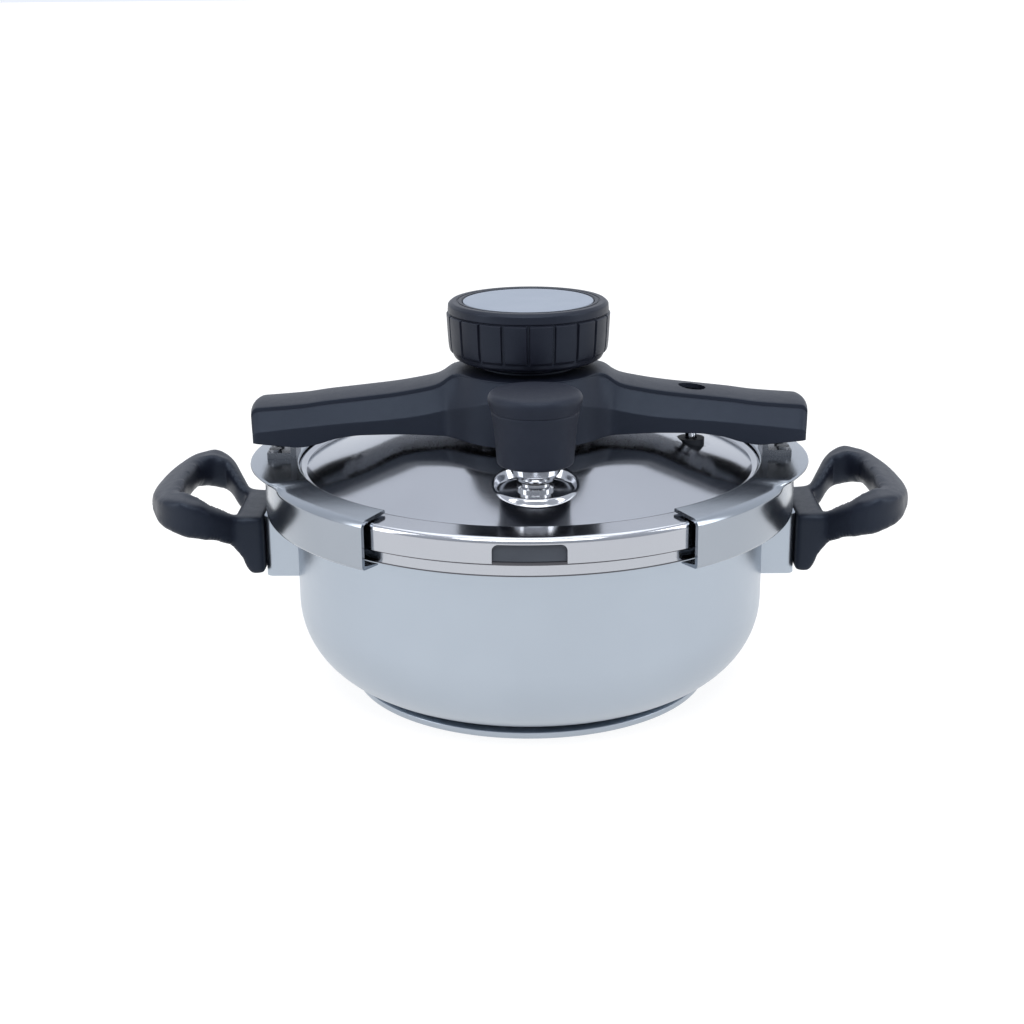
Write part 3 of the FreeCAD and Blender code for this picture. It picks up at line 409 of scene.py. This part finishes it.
WALL = 121.0
SHEET = 1.2
FLOOR = 4.5
BOWL_CORNER = 42.0
RIM_EDGE = 128.0
RIM_FOLD = 126.8
RIM_UNDER = 102.8
RIM_LOW = 96.2
RIM_TOP = 104.0
# The rim is painted dark above RIM_TOP_BAND and below RIM_LOW_BAND: painted shadow lines under the lid's
# skirt and under the rim.
RIM_TOP_BAND = 101.7
RIM_LOW_BAND = 97.0
SATIN, POLISHED, INSIDE, PAINTED_SHADOW = range(4)
pot_outline = rounded([
    (0.0, FLOOR), (WALL, FLOOR, BOWL_CORNER), (WALL, RIM_UNDER, 0.6), (RIM_FOLD, RIM_UNDER, 0.5),
    (RIM_FOLD, RIM_LOW, 0.4), (RIM_EDGE, RIM_LOW, 0.5), (RIM_EDGE, RIM_LOW_BAND),
    (RIM_EDGE, RIM_TOP_BAND), (RIM_EDGE, RIM_TOP, 1.5), (WALL - SHEET, RIM_TOP, 1.2),
    (WALL - SHEET, FLOOR + SHEET, BOWL_CORNER - SHEET), (0.0, FLOOR + SHEET)])


def pot_paint(centre):
    """Material of a face: the rim's top and bottom edges painted dark as painted shadow lines, the
    polished rim, the inside or the outside.
    """
    radius = math.hypot(centre.x, centre.y)
    half_sheet = SHEET / 2
    # Painted shadow: the rim's top and bottom edges get the dark steel, standing in for the shade under
    # the skirt and under the rim.
    if radius > RIM_EDGE - 2.0 and (centre.z > RIM_TOP_BAND or centre.z < RIM_LOW_BAND):
        return PAINTED_SHADOW
    if radius > WALL + half_sheet or centre.z > RIM_TOP - 1.0:
        return POLISHED
    corner_radius = WALL - BOWL_CORNER
    corner_height = FLOOR + BOWL_CORNER
    if centre.z > corner_height:
        inside = radius < WALL - half_sheet
    elif radius > corner_radius:
        reach = math.hypot(radius - corner_radius, centre.z - corner_height)
        inside = reach < BOWL_CORNER - half_sheet
    else:
        inside = centre.z > FLOOR + half_sheet
    return INSIDE if inside else SATIN


vertices, faces = lathe(pot_outline, 320, closed=False)
piece("pot_bowl", vertices, faces, [satin, mirror, inside_steel, painted_shadow_steel], "pot", ["pot_body"],
      paint=pot_paint)

base_outline = rounded([
    (0.0, 0.0), (93.5, 0.0, 2.0), (93.5, 3.6, 0.4), (88.0, 5.475), (86.5, 5.175), (92.7, 3.4),
    (92.7, 1.8), (91.7, 0.8), (0.0, 0.8)])
vertices, faces = lathe(base_outline, 320, closed=False)
piece("pot_base_disc", vertices, faces, [satin], "pot", ["base_cap"])


# ---------------------------------------------------------------- handles

LOOP_CENTRE = 168.0
FATTER = 2.8
GAP_SIDE = (150.0, 156.0)
UNDERSIDE = (66.0, 74.0)
SOFTENING = 10
MARGIN = 0.02
LOOP_VOXEL = 1.1
LOOP_ROUNDS = 14


def fatten(mesh):
    """Make a handle's loop fuller underneath and towards the finger gap, then smooth it."""
    work = bmesh.new()
    work.from_mesh(mesh)
    work.normal_update()
    moves = []
    for vertex in work.verts:
        spot = vertex.co / MM
        middle = Vector((math.copysign(LOOP_CENTRE, spot.x), 0.0))
        to_middle = (middle - spot.to_2d()).normalized()
        inward = vertex.normal.to_2d().dot(to_middle)
        share = smoothstep(0.1, 0.7, inward) * smoothstep(*GAP_SIDE, abs(spot.x))
        under = smoothstep(0.1, 0.8, -vertex.normal.z) * smoothstep(*UNDERSIDE, spot.z)
        moves.append(vertex.normal * FATTER * MM * max(share, under))
    for vertex, move in zip(work.verts, moves):
        vertex.co += move
    for _ in range(SOFTENING):
        bmesh.ops.smooth_vert(work, verts=work.verts, factor=0.5, use_axis_x=True, use_axis_y=True,
                              use_axis_z=True)
    for vertex in work.verts:
        vertex.co.x = min(max(vertex.co.x, cad_low[0] + MARGIN * MM), cad_high[0] - MARGIN * MM)
    work.to_mesh(mesh)
    work.free()


def soft_copy(name, node, body, material, voxel, rounds):
    """A moulded handle: the solid's shape with every edge rounded over and a fuller loop."""
    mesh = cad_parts[node].data.copy()
    mesh.name = name
    if mesh.has_custom_normals:
        mesh.attributes.remove(mesh.attributes["custom_normal"])
    work = bmesh.new()
    work.from_mesh(mesh)
    bmesh.ops.remove_doubles(work, verts=work.verts, dist=1e-5)
    work.to_mesh(mesh)
    work.free()
    mesh.materials.clear()
    mesh.materials.append(material)
    thing = bpy.data.objects.new(name, mesh)
    bpy.context.scene.collection.objects.link(thing)
    remesh = thing.modifiers.new("remesh", "REMESH")
    remesh.mode = "VOXEL"
    remesh.voxel_size = voxel * MM
    remesh.use_smooth_shade = True
    smooth = thing.modifiers.new("smooth", "SMOOTH")
    smooth.factor = 0.5
    smooth.iterations = rounds
    bpy.context.view_layer.update()
    made = bpy.data.meshes.new_from_object(thing.evaluated_get(bpy.context.evaluated_depsgraph_get()))
    thing.modifiers.clear()
    thing.data = made
    made.name = name
    fatten(made)
    made.shade_smooth()
    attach(thing, body)
    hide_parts(node)


for side in ("left", "right"):
    soft_copy("handle_loop_" + side, "handle_" + side, "pot", phenolic, LOOP_VOXEL,
              LOOP_ROUNDS)


# ---------------------------------------------------------------- lid

LID_WALL = 131.5
LID_COLUMNS = 300
RING_TOP = 116.8
RING_EDGE = (128.5, 112.7)
RING_SLOPE = 5.5
LID_CORNER = 3.0
SKIRT_LOW = 103.5
WINDOW_HALF = 17.0
WINDOW_CORNER = 3.0
WINDOW_TOP = 112.6
WINDOW_LINES = [13.4, 14.0, 14.8, 15.6, 16.2, 16.6, 16.9, WINDOW_HALF, 17.03, 17.6]
DOME_TOP = 131.5
DOME_FOOT = (113.0, 116.1)
DOME_START = 112.2
DOME_RINGS = 44
CROWN_EDGE = 58.0
CROWN_RADIUS = 1300.0
KNUCKLE_EDGE = 76.17
KNUCKLE_RADIUS = 75.0
PAD = (3.0, -79.0)
PAD_TOP = 123.6
PAD_REACH = 21.6
PAD_RISE = (20.4, 18.1)
PAD_RINGS = (20.9, 20.4, 20.0, 19.7, 19.45, 19.25, 19.05, 18.85, 18.65, 18.4, 18.1, 17.7, 17.2, 16.6,
             14.0, 11.0, 8.0, 5.0)
PIN_HOLE = (83.5, 0.0, 7.0)
crown_slope = math.asin(CROWN_EDGE / CROWN_RADIUS)


def dome_height(x, y):
    """Height of the dome: a nearly flat crown, a rounded knuckle, then a straight slope."""
    radius = math.hypot(x, y)
    inside = min(radius, CROWN_EDGE)
    height = DOME_TOP - CROWN_RADIUS + math.sqrt(CROWN_RADIUS ** 2 - inside ** 2)
    if radius <= CROWN_EDGE:
        return height
    inside = min(radius, KNUCKLE_EDGE)
    slope = math.asin(math.sin(crown_slope) + (inside - CROWN_EDGE) / KNUCKLE_RADIUS)
    height -= KNUCKLE_RADIUS * (math.cos(crown_slope) - math.cos(slope))
    if radius <= KNUCKLE_EDGE:
        return height
    share = (radius - KNUCKLE_EDGE) / (DOME_FOOT[0] - KNUCKLE_EDGE)
    return height + (DOME_FOOT[1] - height) * share


def lid_columns():
    """Angles of the lid's mesh lines, with extra ones at the sides of the window in its skirt."""
    front = -math.pi / 2
    clear = 0.012
    columns = [2 * math.pi * i / LID_COLUMNS for i in range(LID_COLUMNS)]
    near = math.asin(WINDOW_LINES[0] / LID_WALL) - clear
    far = math.asin(WINDOW_LINES[-1] / LID_WALL) + clear
    columns = [c for c in columns
               if not near < abs((c - front + math.pi) % (2 * math.pi) - math.pi) < far]
    for line in WINDOW_LINES:
        offset = math.asin(line / LID_WALL)
        columns += [front + offset, front - offset]
    return sorted(c % (2 * math.pi) for c in columns)


def skirt_low(angle):
    """Height of the skirt's lower edge: the window is open downwards and has rounded corners."""
    sideways = abs(LID_WALL * math.sin(angle + math.pi / 2))
    if math.sin(angle) > 0 or sideways > WINDOW_HALF + 0.01:
        return SKIRT_LOW
    past_straight = sideways - (WINDOW_HALF - WINDOW_CORNER)
    if past_straight <= 0.0:
        return WINDOW_TOP
    return WINDOW_TOP - WINDOW_CORNER + math.sqrt(max(WINDOW_CORNER ** 2 - past_straight ** 2, 0.0))


def lid_rows():
    """The rings of the lid's mesh, from the skirt's edge to the vent hole.

    Each is a function that gives the point at an angle, and the (radial, upward) direction of the
    sheet's outer side there.
    """
    rows = []

    def at(radius, height, normal):
        rows.append((lambda a, r=radius, h=height: (r * math.cos(a), r * math.sin(a), h), normal))

    for share in (0.0, 0.06, 0.12, 0.3, 0.5, 0.7, 0.9, 1.0):
        def skirt(a, t=share):
            low = skirt_low(a)
            return (LID_WALL * math.cos(a), LID_WALL * math.sin(a), low + (RING_EDGE[1] - low) * t)
        rows.append((skirt, (1.0, 0.0)))
    corner_steps = 9
    for k in range(1, corner_steps + 1):
        turn = math.radians((90.0 - RING_SLOPE) / corner_steps * k)
        lean = (math.cos(turn), math.sin(turn))
        at(RING_EDGE[0] + LID_CORNER * lean[0], RING_EDGE[1] + LID_CORNER * lean[1], lean)
    ledge = rounded([(128.3, 115.732), (117.0, RING_TOP, 0.9), (114.9, 115.5, 0.9), (112.6, 116.2)],
                    closed=False, support=0.5)
    for radius, height in ledge[:-1]:
        at(radius, height, (0.0, 1.0))
    for k in range(DOME_RINGS + 1):
        def dome(a, t=(k / DOME_RINGS) ** 0.9):
            far = Vector((DOME_START * math.cos(a), DOME_START * math.sin(a)))
            near = Vector((PAD[0] + PAD_REACH * math.cos(a), PAD[1] + PAD_REACH * math.sin(a)))
            p = far.lerp(near, t)
            return (p.x, p.y, dome_height(p.x, p.y))
        rows.append((dome, (0.0, 1.0)))
    for radius in PAD_RINGS:
        def pad(a, r=radius):
            x = PAD[0] + r * math.cos(a)
            y = PAD[1] + r * math.sin(a)
            share = smoothstep(*PAD_RISE, r)
            return (x, y, dome_height(x, y) * (1 - share) + PAD_TOP * share)
        rows.append((pad, (0.0, 1.0)))
    return rows


def make_lid():
    columns = lid_columns()
    rows = lid_rows()
    count = len(columns)
    vertices = []
    offsets = []
    for place, normal in rows:
        for angle in columns:
            vertices.append(place(angle))
            offsets.append((-normal[0] * SHEET * math.cos(angle), -normal[0] * SHEET * math.sin(angle),
                            -normal[1] * SHEET))
    faces = []
    for r in range(len(rows) - 1):
        for i in range(count):
            j = (i + 1) % count
            faces.append((r * count + i, r * count + j, (r + 1) * count + j, (r + 1) * count + i))
    vertices, faces = punched(vertices, faces, *PIN_HOLE, 115.0)
    return thickened(vertices, faces, offsets)


vertices, faces = make_lid()
piece("lid_dome", vertices, faces, [mirror], "lid", ["lid_shell"], sharp=40.0)


# ---------------------------------------------------------------- jaws

JAW_WALL = 136.0
JAW_TOP = 119.2
JAW_LOW = 93.8
JAW_SHEET = 1.8
JAW_CORNER = 4.0
JAW_SHOULDER = 113.88
JAW_HALF_ANGLE = 55.5
JAW_COLUMNS = 132
LIP_REACH = 124.5
FLANGE_REACH = 118.5
TAB_REACH = 143.5
TAB_HALF = 63.0
TAB_HALF_ANGLE = 27.6
TAB_FLARE = 5.0
tab_root = math.sqrt(JAW_WALL ** 2 - TAB_HALF ** 2)
tab_rise = TAB_REACH - tab_root
tab_radius = (TAB_HALF ** 2 + tab_rise ** 2) / (2 * tab_rise)
tab_centre = TAB_REACH - tab_radius


def tab_edge(angle):
    """Distance of the tab's edge from the axis at an angle from the middle of the jaw."""
    inner = tab_radius ** 2 - (tab_centre * math.sin(angle)) ** 2
    return tab_centre * math.cos(angle) + math.sqrt(max(inner, 0.0))


def jaw_section(angle):
    """Outline of a jaw: wall, sloped flange and lip; its top corner flares out into the flat tab.

    The plain corner and the tab's edge have the same number of points, so one can turn into the other.
    """
    reach = max(tab_edge(angle), JAW_WALL) if abs(angle) < math.radians(TAB_HALF_ANGLE) else JAW_WALL
    out = reach - JAW_WALL
    share = smoothstep(0.0, 2.5, out)
    slope = math.radians(RING_SLOPE)
    bend = JAW_WALL - JAW_CORNER
    plain = []
    for k in range(15):
        turn = (math.pi / 2 - slope) * k / 14
        plain.append((bend + JAW_CORNER * math.cos(turn), JAW_SHOULDER + JAW_CORNER * math.sin(turn)))
    flare = min(TAB_FLARE, 0.75 * out + 0.01)
    under = JAW_TOP - JAW_SHEET
    edge = JAW_SHEET / 2
    tab = []
    for k in range(7):
        turn = math.radians(90 * k / 6)
        tab.append((JAW_WALL + flare * (1 - math.cos(turn)), under - flare * (1 - math.sin(turn))))
    for k in range(7):
        turn = math.radians(-90 + 180 * k / 6)
        tab.append((reach - edge + edge * math.cos(turn), under + edge + edge * math.sin(turn)))
    tab.append((bend, JAW_TOP))
    corner = [(p[0] * (1 - share) + t[0] * share, p[1] * (1 - share) + t[1] * share)
              for p, t in zip(plain, tab)]
    lip_top = JAW_LOW + JAW_SHEET
    inside = JAW_WALL - JAW_SHEET
    lower = rounded([(LIP_REACH, lip_top, 0.4), (LIP_REACH, JAW_LOW, 0.4), (JAW_WALL, JAW_LOW, 2.0),
                     (JAW_WALL, 110.0)], closed=False, support=0.5)
    outer_top = 117.9 * (1 - share) + JAW_TOP * share
    inner = rounded([(131.5, outer_top + 0.06 * (1 - share)), (FLANGE_REACH, JAW_TOP, 0.7),
                     (FLANGE_REACH, under, 0.4), (inside, 115.88, 2.2), (inside, lip_top, 0.6),
                     (LIP_REACH, lip_top)], closed=False, support=0.5)
    wall = [(JAW_WALL, height) for height in (100.0, 106.0, 110.0)]
    return lower[1:-1] + wall + corner + inner[:-1]


def make_jaw(side):
    """One jaw as sections round the lid's axis, with support lines at both ends."""
    half = math.radians(JAW_HALF_ANGLE)
    support = 0.003
    angles = [-half, -half + support]
    angles += [half * (2 * k / JAW_COLUMNS - 1) for k in range(1, JAW_COLUMNS)]
    angles += [half - support, half]
    vertices = []
    faces = []
    size = len(jaw_section(0.0))
    for angle in angles:
        for radius, height in jaw_section(angle):
            vertices.append((side * radius * math.cos(angle), radius * math.sin(angle), height))
    for i in range(len(angles) - 1):
        for j in range(size):
            k = (j + 1) % size
            faces.append((i * size + j, i * size + k, (i + 1) * size + k, (i + 1) * size + j))
    faces.append(tuple(range(size)))
    faces.append(tuple((len(angles) - 1) * size + j for j in range(size))[::-1])
    return vertices, faces


for side, name in ((-1, "left"), (1, "right")):
    vertices, faces = make_jaw(side)
    piece("clamp_jaw_" + name, vertices, faces, [clamp_steel], "jaw_" + name,
          ["jaw_" + name], sharp=50.0)


# ---------------------------------------------------------------- bridge

BRIDGE_END = 142.0
END_ROUND = 3.8
BRIDGE_WALL = 2.4
STRIP_HALF = 14.6
SIDE_HALF = 22.0
HUB_TOP_RADIUS = 37.5
HUB_SIDE_RADIUS = 44.8
HUB_EDGE = 164.8
TOP_BLEND = 7.0
SIDE_BLEND = 9.0
CREASE_STEP = 1.5
CREASE_START = (24.0, 44.0)
BOW_START = 116.0
END_BOW = 2.8
CROWN_SHARES = (0.0, 0.14, 0.28, 0.42, 0.56, 0.7, 0.82, 0.92)
CROWN_LINE = [(0.0, 166.5), (24.0, 166.5), (30.0, 166.2), (37.5, 165.2), (40.5, 163.8),
              (43.0, 161.9), (47.0, 159.9), (56.0, 157.9), (68.0, 155.9), (85.0, 153.9),
              (103.0, 151.9), (116.0, 150.1), (142.0, 148.2)]
SHOULDER_LINE = [(0.0, 156.5), (19.0, 155.2), (29.0, 152.0), (38.0, 148.8), (46.0, 146.4), (65.0, 143.2),
                 (96.0, 140.6), (116.0, 138.6), (142.0, 136.0)]
BOTTOM_LINE = [(0.0, 133.2), (20.0, 133.3), (40.0, 134.2), (66.0, 135.2), (84.0, 134.9), (96.0, 133.4),
               (108.0, 130.0), (116.0, 128.7), (126.0, 129.4), (142.0, 130.7)]


def bridge_profile(x):
    """Half of the bridge's section at x, from the ridge to the lower edge, as (y, height) points."""
    far = abs(x)
    end_drop = 0.0
    round_start = BRIDGE_END - END_ROUND
    if far > round_start:
        share = min((far - round_start) / END_ROUND, 1.0)
        end_drop = END_ROUND * (1 - math.sqrt(max(1 - share * share, 0.0)))
    crown = along(CROWN_LINE, far) - end_drop
    shoulder = along(SHOULDER_LINE, far) - 0.25 * end_drop
    low = along(BOTTOM_LINE, far)
    round_top = math.sqrt(max(HUB_TOP_RADIUS ** 2 - far * far, 0.0))
    round_side = math.sqrt(max(HUB_SIDE_RADIUS ** 2 - far * far, 0.0))
    top_half = smooth_max(STRIP_HALF, round_top, TOP_BLEND)
    side_half = smooth_max(SIDE_HALF, round_side, SIDE_BLEND) - 0.4 * end_drop
    edge_height = min(crown - 0.9, HUB_EDGE - end_drop)
    step = CREASE_STEP * smoothstep(*CREASE_START, far)
    foot = side_half + 0.5
    half = [(share * top_half, crown + (edge_height - crown) * share ** 2) for share in CROWN_SHARES]
    half += [(top_half - 0.45, edge_height - 0.02), (top_half - 0.12, edge_height - 0.18),
             (top_half, edge_height - 0.5)]
    base = edge_height - 0.5 - step
    half += [(top_half + 0.02, base), (top_half + 0.3, base - 0.15)]
    start = Vector((top_half + 0.3, base - 0.15))
    end = Vector((side_half - 0.3, shoulder + 0.45))
    half += [tuple(start.lerp(end, share)) for share in (0.05, 0.25, 0.5, 0.75, 0.95, 1.0)]
    half += [(side_half - 0.08, shoulder + 0.12), (side_half, shoulder - 0.3)]
    top_of_wall = Vector((side_half, shoulder - 0.3))
    bottom = Vector((foot, low + 0.3))
    half += [tuple(top_of_wall.lerp(bottom, share)) for share in (0.04, 0.35, 0.65, 0.96, 1.0)]
    half += [(foot - 0.25, low)]
    return half


def make_bridge():
    """The outside of the bridge as rows across it, given a wall, and the hub's collar."""
    stations = [BRIDGE_END - END_ROUND * (1 - math.sin(math.radians(angle)))
                for angle in (90, 75, 60, 45, 30, 15)]
    stations += [137.6 - k * 1.6 for k in range(63)]
    stations += [36.0 - k * 1.5 for k in range(24)]
    stations = [x for x in stations if x > 0.2]
    stations = [-x for x in stations] + [0.0] + stations[::-1]
    last = len(bridge_profile(0.0)) - 1
    size = 2 * last + 1
    crown_end = len(CROWN_SHARES)
    vertices = []
    offsets = []
    faces = []
    for x in stations:
        half = list(enumerate(bridge_profile(x)))
        full = [(-y, z, i) for i, (y, z) in reversed(half)]
        full += [(y, z, i) for i, (y, z) in half[1:]]
        end_share = smoothstep(BRIDGE_END - 3.0, BRIDGE_END, abs(x))
        bow = END_BOW * smoothstep(BOW_START, BRIDGE_END, abs(x))
        for y, z, i in full:
            vertices.append((x - math.copysign(bow * (y / SIDE_HALF) ** 2, x), y, z))
            across = smoothstep(0.0, 1.0, max(0.0, (i - crown_end) / (last - crown_end)))
            offsets.append((-math.copysign(BRIDGE_WALL * end_share, x) if end_share else 0.0,
                            -math.copysign(BRIDGE_WALL * across, y) if abs(y) > 1 else 0.0,
                            -BRIDGE_WALL * (1 - across)))
    count = len(stations)
    for i in range(count - 1):
        for j in range(size - 1):
            faces.append((i * size + j, (i + 1) * size + j, (i + 1) * size + j + 1, i * size + j + 1))
    for base, flip in ((0, False), ((count - 1) * size, True)):
        for j in range(size // 2):
            k = size - 1 - j
            face = (base + j, base + j + 1, base + k - 1, base + k)
            if len(set(face)) == 3:
                face = (base + j, base + j + 1, base + k)
            faces.append(face[::-1] if flip else face)
    vertices, faces = punched(vertices, faces, *PIN_HOLE, 149.0)
    vertices, faces = thickened(vertices, faces, offsets)
    collar, collar_faces = lathe(rounded([
        (8.0, 165.0), (25.6, 165.0), (25.6, 166.6, 0.5), (25.0, 167.0, 0.4), (25.0, 168.6, 0.5),
        (8.0, 168.6, 0.3)]), 128)
    start = len(vertices)
    vertices += collar
    faces += [tuple(i + start for i in face) for face in collar_faces]
    return vertices, faces


vertices, faces = make_bridge()
piece("bridge_moulding", vertices, faces, [nylon], "lid", ["bridge_cover"], sharp=38.0)


# ---------------------------------------------------------------- knob

PANELS = 20
PANEL_ANGLE = 360 // PANELS
PANEL_LOW = 173.0
PANEL_HIGH = 193.6
GRIP_INSIDE = 37.0
GRIP_STEP = 0.45
PANEL_COLUMNS = [0.0, 0.75, 1.05, 1.35, 1.8, 3.2, 6.0, 9.0, 12.0, 14.8, 16.2, 16.65, 16.95, 17.25]
KNOB_OUTLINE = rounded([
    (5.2, 170.5), (9.0, 170.5), (9.0, 172.5), (32.8, 172.5), (32.8, 169.5, 0.3), (34.8, 169.5, 0.8),
    (37.6, 171.1, 2.0), (39.2, 174.6, 3.0), (39.9, 181.5, 6.0), (40.15, 193.4, 0.3), (40.75, 194.2, 0.6),
    (40.5, 197.8, 1.2), (38.9, 199.2, 1.2), (36.3, 199.2, 0.3), (36.1, 198.7, 0.2), (35.5, 198.7, 0.2),
    (35.3, 199.2, 0.3), (33.9, 199.2, 0.5), (33.2, 198.2, 0.3), (33.2, 197.4), (5.2, 197.4)])
PANEL_FACE = [(173.6, 39.3), (175.0, 40.1), (178.0, 40.55), (183.0, 40.9), (189.0, 41.2), (193.0, 41.4)]


def knob_points():
    """The knob's outline with extra points on the grip, where the panels stand proud."""
    points = []
    for (r0, z0), (r1, z1) in zip(KNOB_OUTLINE, KNOB_OUTLINE[1:] + KNOB_OUTLINE[:1]):
        points.append((r0, z0))
        if min(r0, r1) > GRIP_INSIDE and PANEL_LOW - 1.0 < z0 < PANEL_HIGH + 0.4 and z1 - z0 > 0.5:
            parts = max(1, int((z1 - z0) / GRIP_STEP))
            points += [(r0 + (r1 - r0) * k / parts, z0 + (z1 - z0) * k / parts) for k in range(1, parts)]
    return points


def make_knob():
    """The knob turned from its outline, with PANELS proud panels round its grip."""
    points = knob_points()
    angles = [math.radians(-90 + PANEL_ANGLE * p + c) for p in range(PANELS) for c in PANEL_COLUMNS]
    count = len(angles)

    def panel_radius(radius, height, column):
        if not PANEL_LOW < height < PANEL_HIGH or radius < GRIP_INSIDE:
            return radius
        face = along(PANEL_FACE, height)
        from_groove = min(PANEL_COLUMNS[column], PANEL_ANGLE - PANEL_COLUMNS[column])
        across = smoothstep(0.70, 1.35, from_groove)
        upward = (smoothstep(PANEL_LOW + 0.2, PANEL_LOW + 1.6, height)
                  * smoothstep(PANEL_HIGH - 0.1, PANEL_HIGH - 0.7, height))
        return radius + (face - radius) * across * upward

    vertices = []
    for radius, height in points:
        for i, angle in enumerate(angles):
            here = panel_radius(radius, height, i % len(PANEL_COLUMNS))
            vertices.append((here * math.cos(angle), here * math.sin(angle), height))
    faces = []
    for r in range(len(points)):
        s = (r + 1) % len(points)
        for i in range(count):
            j = (i + 1) % count
            faces.append((r * count + i, r * count + j, s * count + j, s * count + i))
    return vertices, faces


vertices, faces = make_knob()
piece("knob_grip", vertices, faces, [knob_black], "knob", ["knob_body"], sharp=40.0)
vertices, faces = lathe(rounded([
    (0.0, 197.6), (33.0, 197.6), (33.0, 199.0, 0.5), (30.0, 199.1, 4.0), (0.0, 198.9)]), 256, closed=False)
piece("knob_inlay", vertices, faces, [inlay], "knob", ["knob_disc"])


# ---------------------------------------------------------------- regulator

cap_side = flowing([(18.25, 137.4), (18.65, 143.0), (19.2, 150.0), (19.95, 156.5), (20.8, 161.3)], 5)
cap_head = flowing([(20.95, 162.0), (21.7, 164.4), (22.25, 166.6), (22.1, 168.3), (21.2, 169.8),
                    (19.2, 170.75), (15.5, 171.3), (9.0, 171.75), (0.0, 171.9)], 5)
cap_foot = [(0.0, 139.4), (12.0, 139.4), (12.3, 136.3), (13.0, 136.1), (16.9, 136.1), (17.5, 136.2),
            (17.95, 136.6)]
cap_groove = [(20.72, 161.35), (20.55, 161.6), (20.75, 161.9)]
cap_outline = cap_foot + cap_side[:-1] + cap_groove + cap_head
REGULATOR_COLUMNS = 192
vertices, faces = lathe(cap_outline, REGULATOR_COLUMNS, *PAD, closed=False)
piece("regulator_hood", vertices, faces, [cap_black], "regulator", ["regulator_cap"],
      sharp=45.0)

weight_outline = rounded([
    (5.6, 127.9, 0.2), (8.7, 127.9, 0.4), (9.4, 129.2, 0.8), (11.6, 131.4, 1.6), (12.2, 135.2, 2.0),
    (12.2, 139.9), (5.6, 139.9)])
FLATS = 12
FLATS_LOW = 128.2
FLATS_HIGH = 136.0


def fluted(index, column, radius):
    """The lower part of the weight has shallow flats ground round it."""
    height = weight_outline[index][1]
    if radius < 8.0 or height > FLATS_HIGH:
        return radius
    share = (smoothstep(FLATS_LOW, FLATS_LOW + 1.8, height)
             * smoothstep(FLATS_HIGH, FLATS_HIGH - 2.0, height))
    turn = (column / REGULATOR_COLUMNS * FLATS) % 1.0 - 0.5
    flat = math.cos(math.pi / FLATS) / math.cos(2 * math.pi * turn / FLATS)
    return radius * (1 - share + share * (0.35 + 0.65 * flat))


vertices, faces = lathe(weight_outline, REGULATOR_COLUMNS, *PAD, radius_at=fluted)
piece("regulator_bulb", vertices, faces, [bright], "regulator", ["regulator_weight"],
      sharp=28.0)


# ---------------------------------------------------------------- studio

def look_at(thing, place, target, roll=0.0):
    """Put a camera or lamp at a place, facing a target, rolled by some degrees."""
    forward = (Vector(target) - Vector(place)).normalized()
    right = forward.cross(Vector((0.0, 0.0, 1.0))).normalized()
    up = right.cross(forward)
    turn = math.radians(roll)
    across = right * math.cos(turn) + up * math.sin(turn)
    upright = up * math.cos(turn) - right * math.sin(turn)
    axes = Matrix((across, upright, -forward)).transposed()
    thing.matrix_world = Matrix.Translation(Vector(place)) @ axes.to_4x4()


camera_data = bpy.data.cameras.new("camera")
camera_data.sensor_width = 36.0
camera_data.lens = 59.98
camera_data.clip_start = 0.01
camera_data.clip_end = 100.0
camera = bpy.data.objects.new("camera", camera_data)
bpy.context.scene.collection.objects.link(camera)
look_at(camera, (0.0, -0.85282, 0.35456), (-0.0091, 0.0, 0.087), roll=-0.51)
bpy.context.scene.camera = camera
bpy.context.scene.view_settings.view_transform = "Standard"


def softbox(name, place, target, width, height, power):
    data = bpy.data.lights.new(name, "AREA")
    data.shape = "RECTANGLE"
    data.size = width
    data.size_y = height
    data.energy = power
    light = bpy.data.objects.new(name, data)
    bpy.context.scene.collection.objects.link(light)
    look_at(light, place, target)


softbox("overhead", (0.0, 0.25, 1.6), (0.0, 0.05, 0.1), 1.6, 1.2, 9.0)
softbox("front_top", (0.0, -1.0, 1.45), (0.0, 0.0, 0.12), 1.5, 0.8, 17.0)
softbox("left_box", (-1.3, -0.55, 0.75), (0.0, 0.0, 0.1), 0.5, 1.2, 7.0)
softbox("right_box", (1.3, -0.35, 0.75), (0.0, 0.0, 0.1), 0.4, 1.2, 6.0)

world = bpy.data.worlds.new("studio")
world.use_nodes = True
bpy.context.scene.world = world
tree = world.node_tree
background = tree.nodes["Background"]
where = tree.nodes.new("ShaderNodeTexCoord")
split = tree.nodes.new("ShaderNodeSeparateXYZ")
tree.links.new(where.outputs["Generated"], split.inputs["Vector"])
front = ranged(tree, split.outputs["Y"], 0.62, 1.0, -1.0, 0.6)
upper = ranged(tree, split.outputs["Z"], 0.92, 1.06, -0.1, 0.9)
level = tree.nodes.new("ShaderNodeMath")
level.operation = "MULTIPLY"
tree.links.new(front, level.inputs[0])
tree.links.new(upper, level.inputs[1])
background.inputs["Color"].default_value = (0.92, 0.965, 1.05, 1.0)
tree.links.new(level.outputs[0], background.inputs["Strength"])

PAPER_GLOW = 0.84
floor_mesh = bpy.data.meshes.new("floor")
work = bmesh.new()
bmesh.ops.create_grid(work, x_segments=8, y_segments=8, size=30.0)
work.to_mesh(floor_mesh)
work.free()
floor = bpy.data.objects.new("floor", floor_mesh)
bpy.context.scene.collection.objects.link(floor)
paper = surface("white_paper_look", (0.20, 0.20, 0.20), (0.195, 0.195, 0.195), 0.0, (0.8, 0.9),
                (2.0, 2.0, 2.0), (60.0, 60.0, 60.0), 0.00002)
paper_shader = paper.node_tree.nodes["Principled BSDF"]
paper_shader.inputs["Emission Color"].default_value = (1.0, 1.0, 1.0, 1.0)
paper_shader.inputs["Emission Strength"].default_value = PAPER_GLOW
floor_mesh.materials.append(paper)
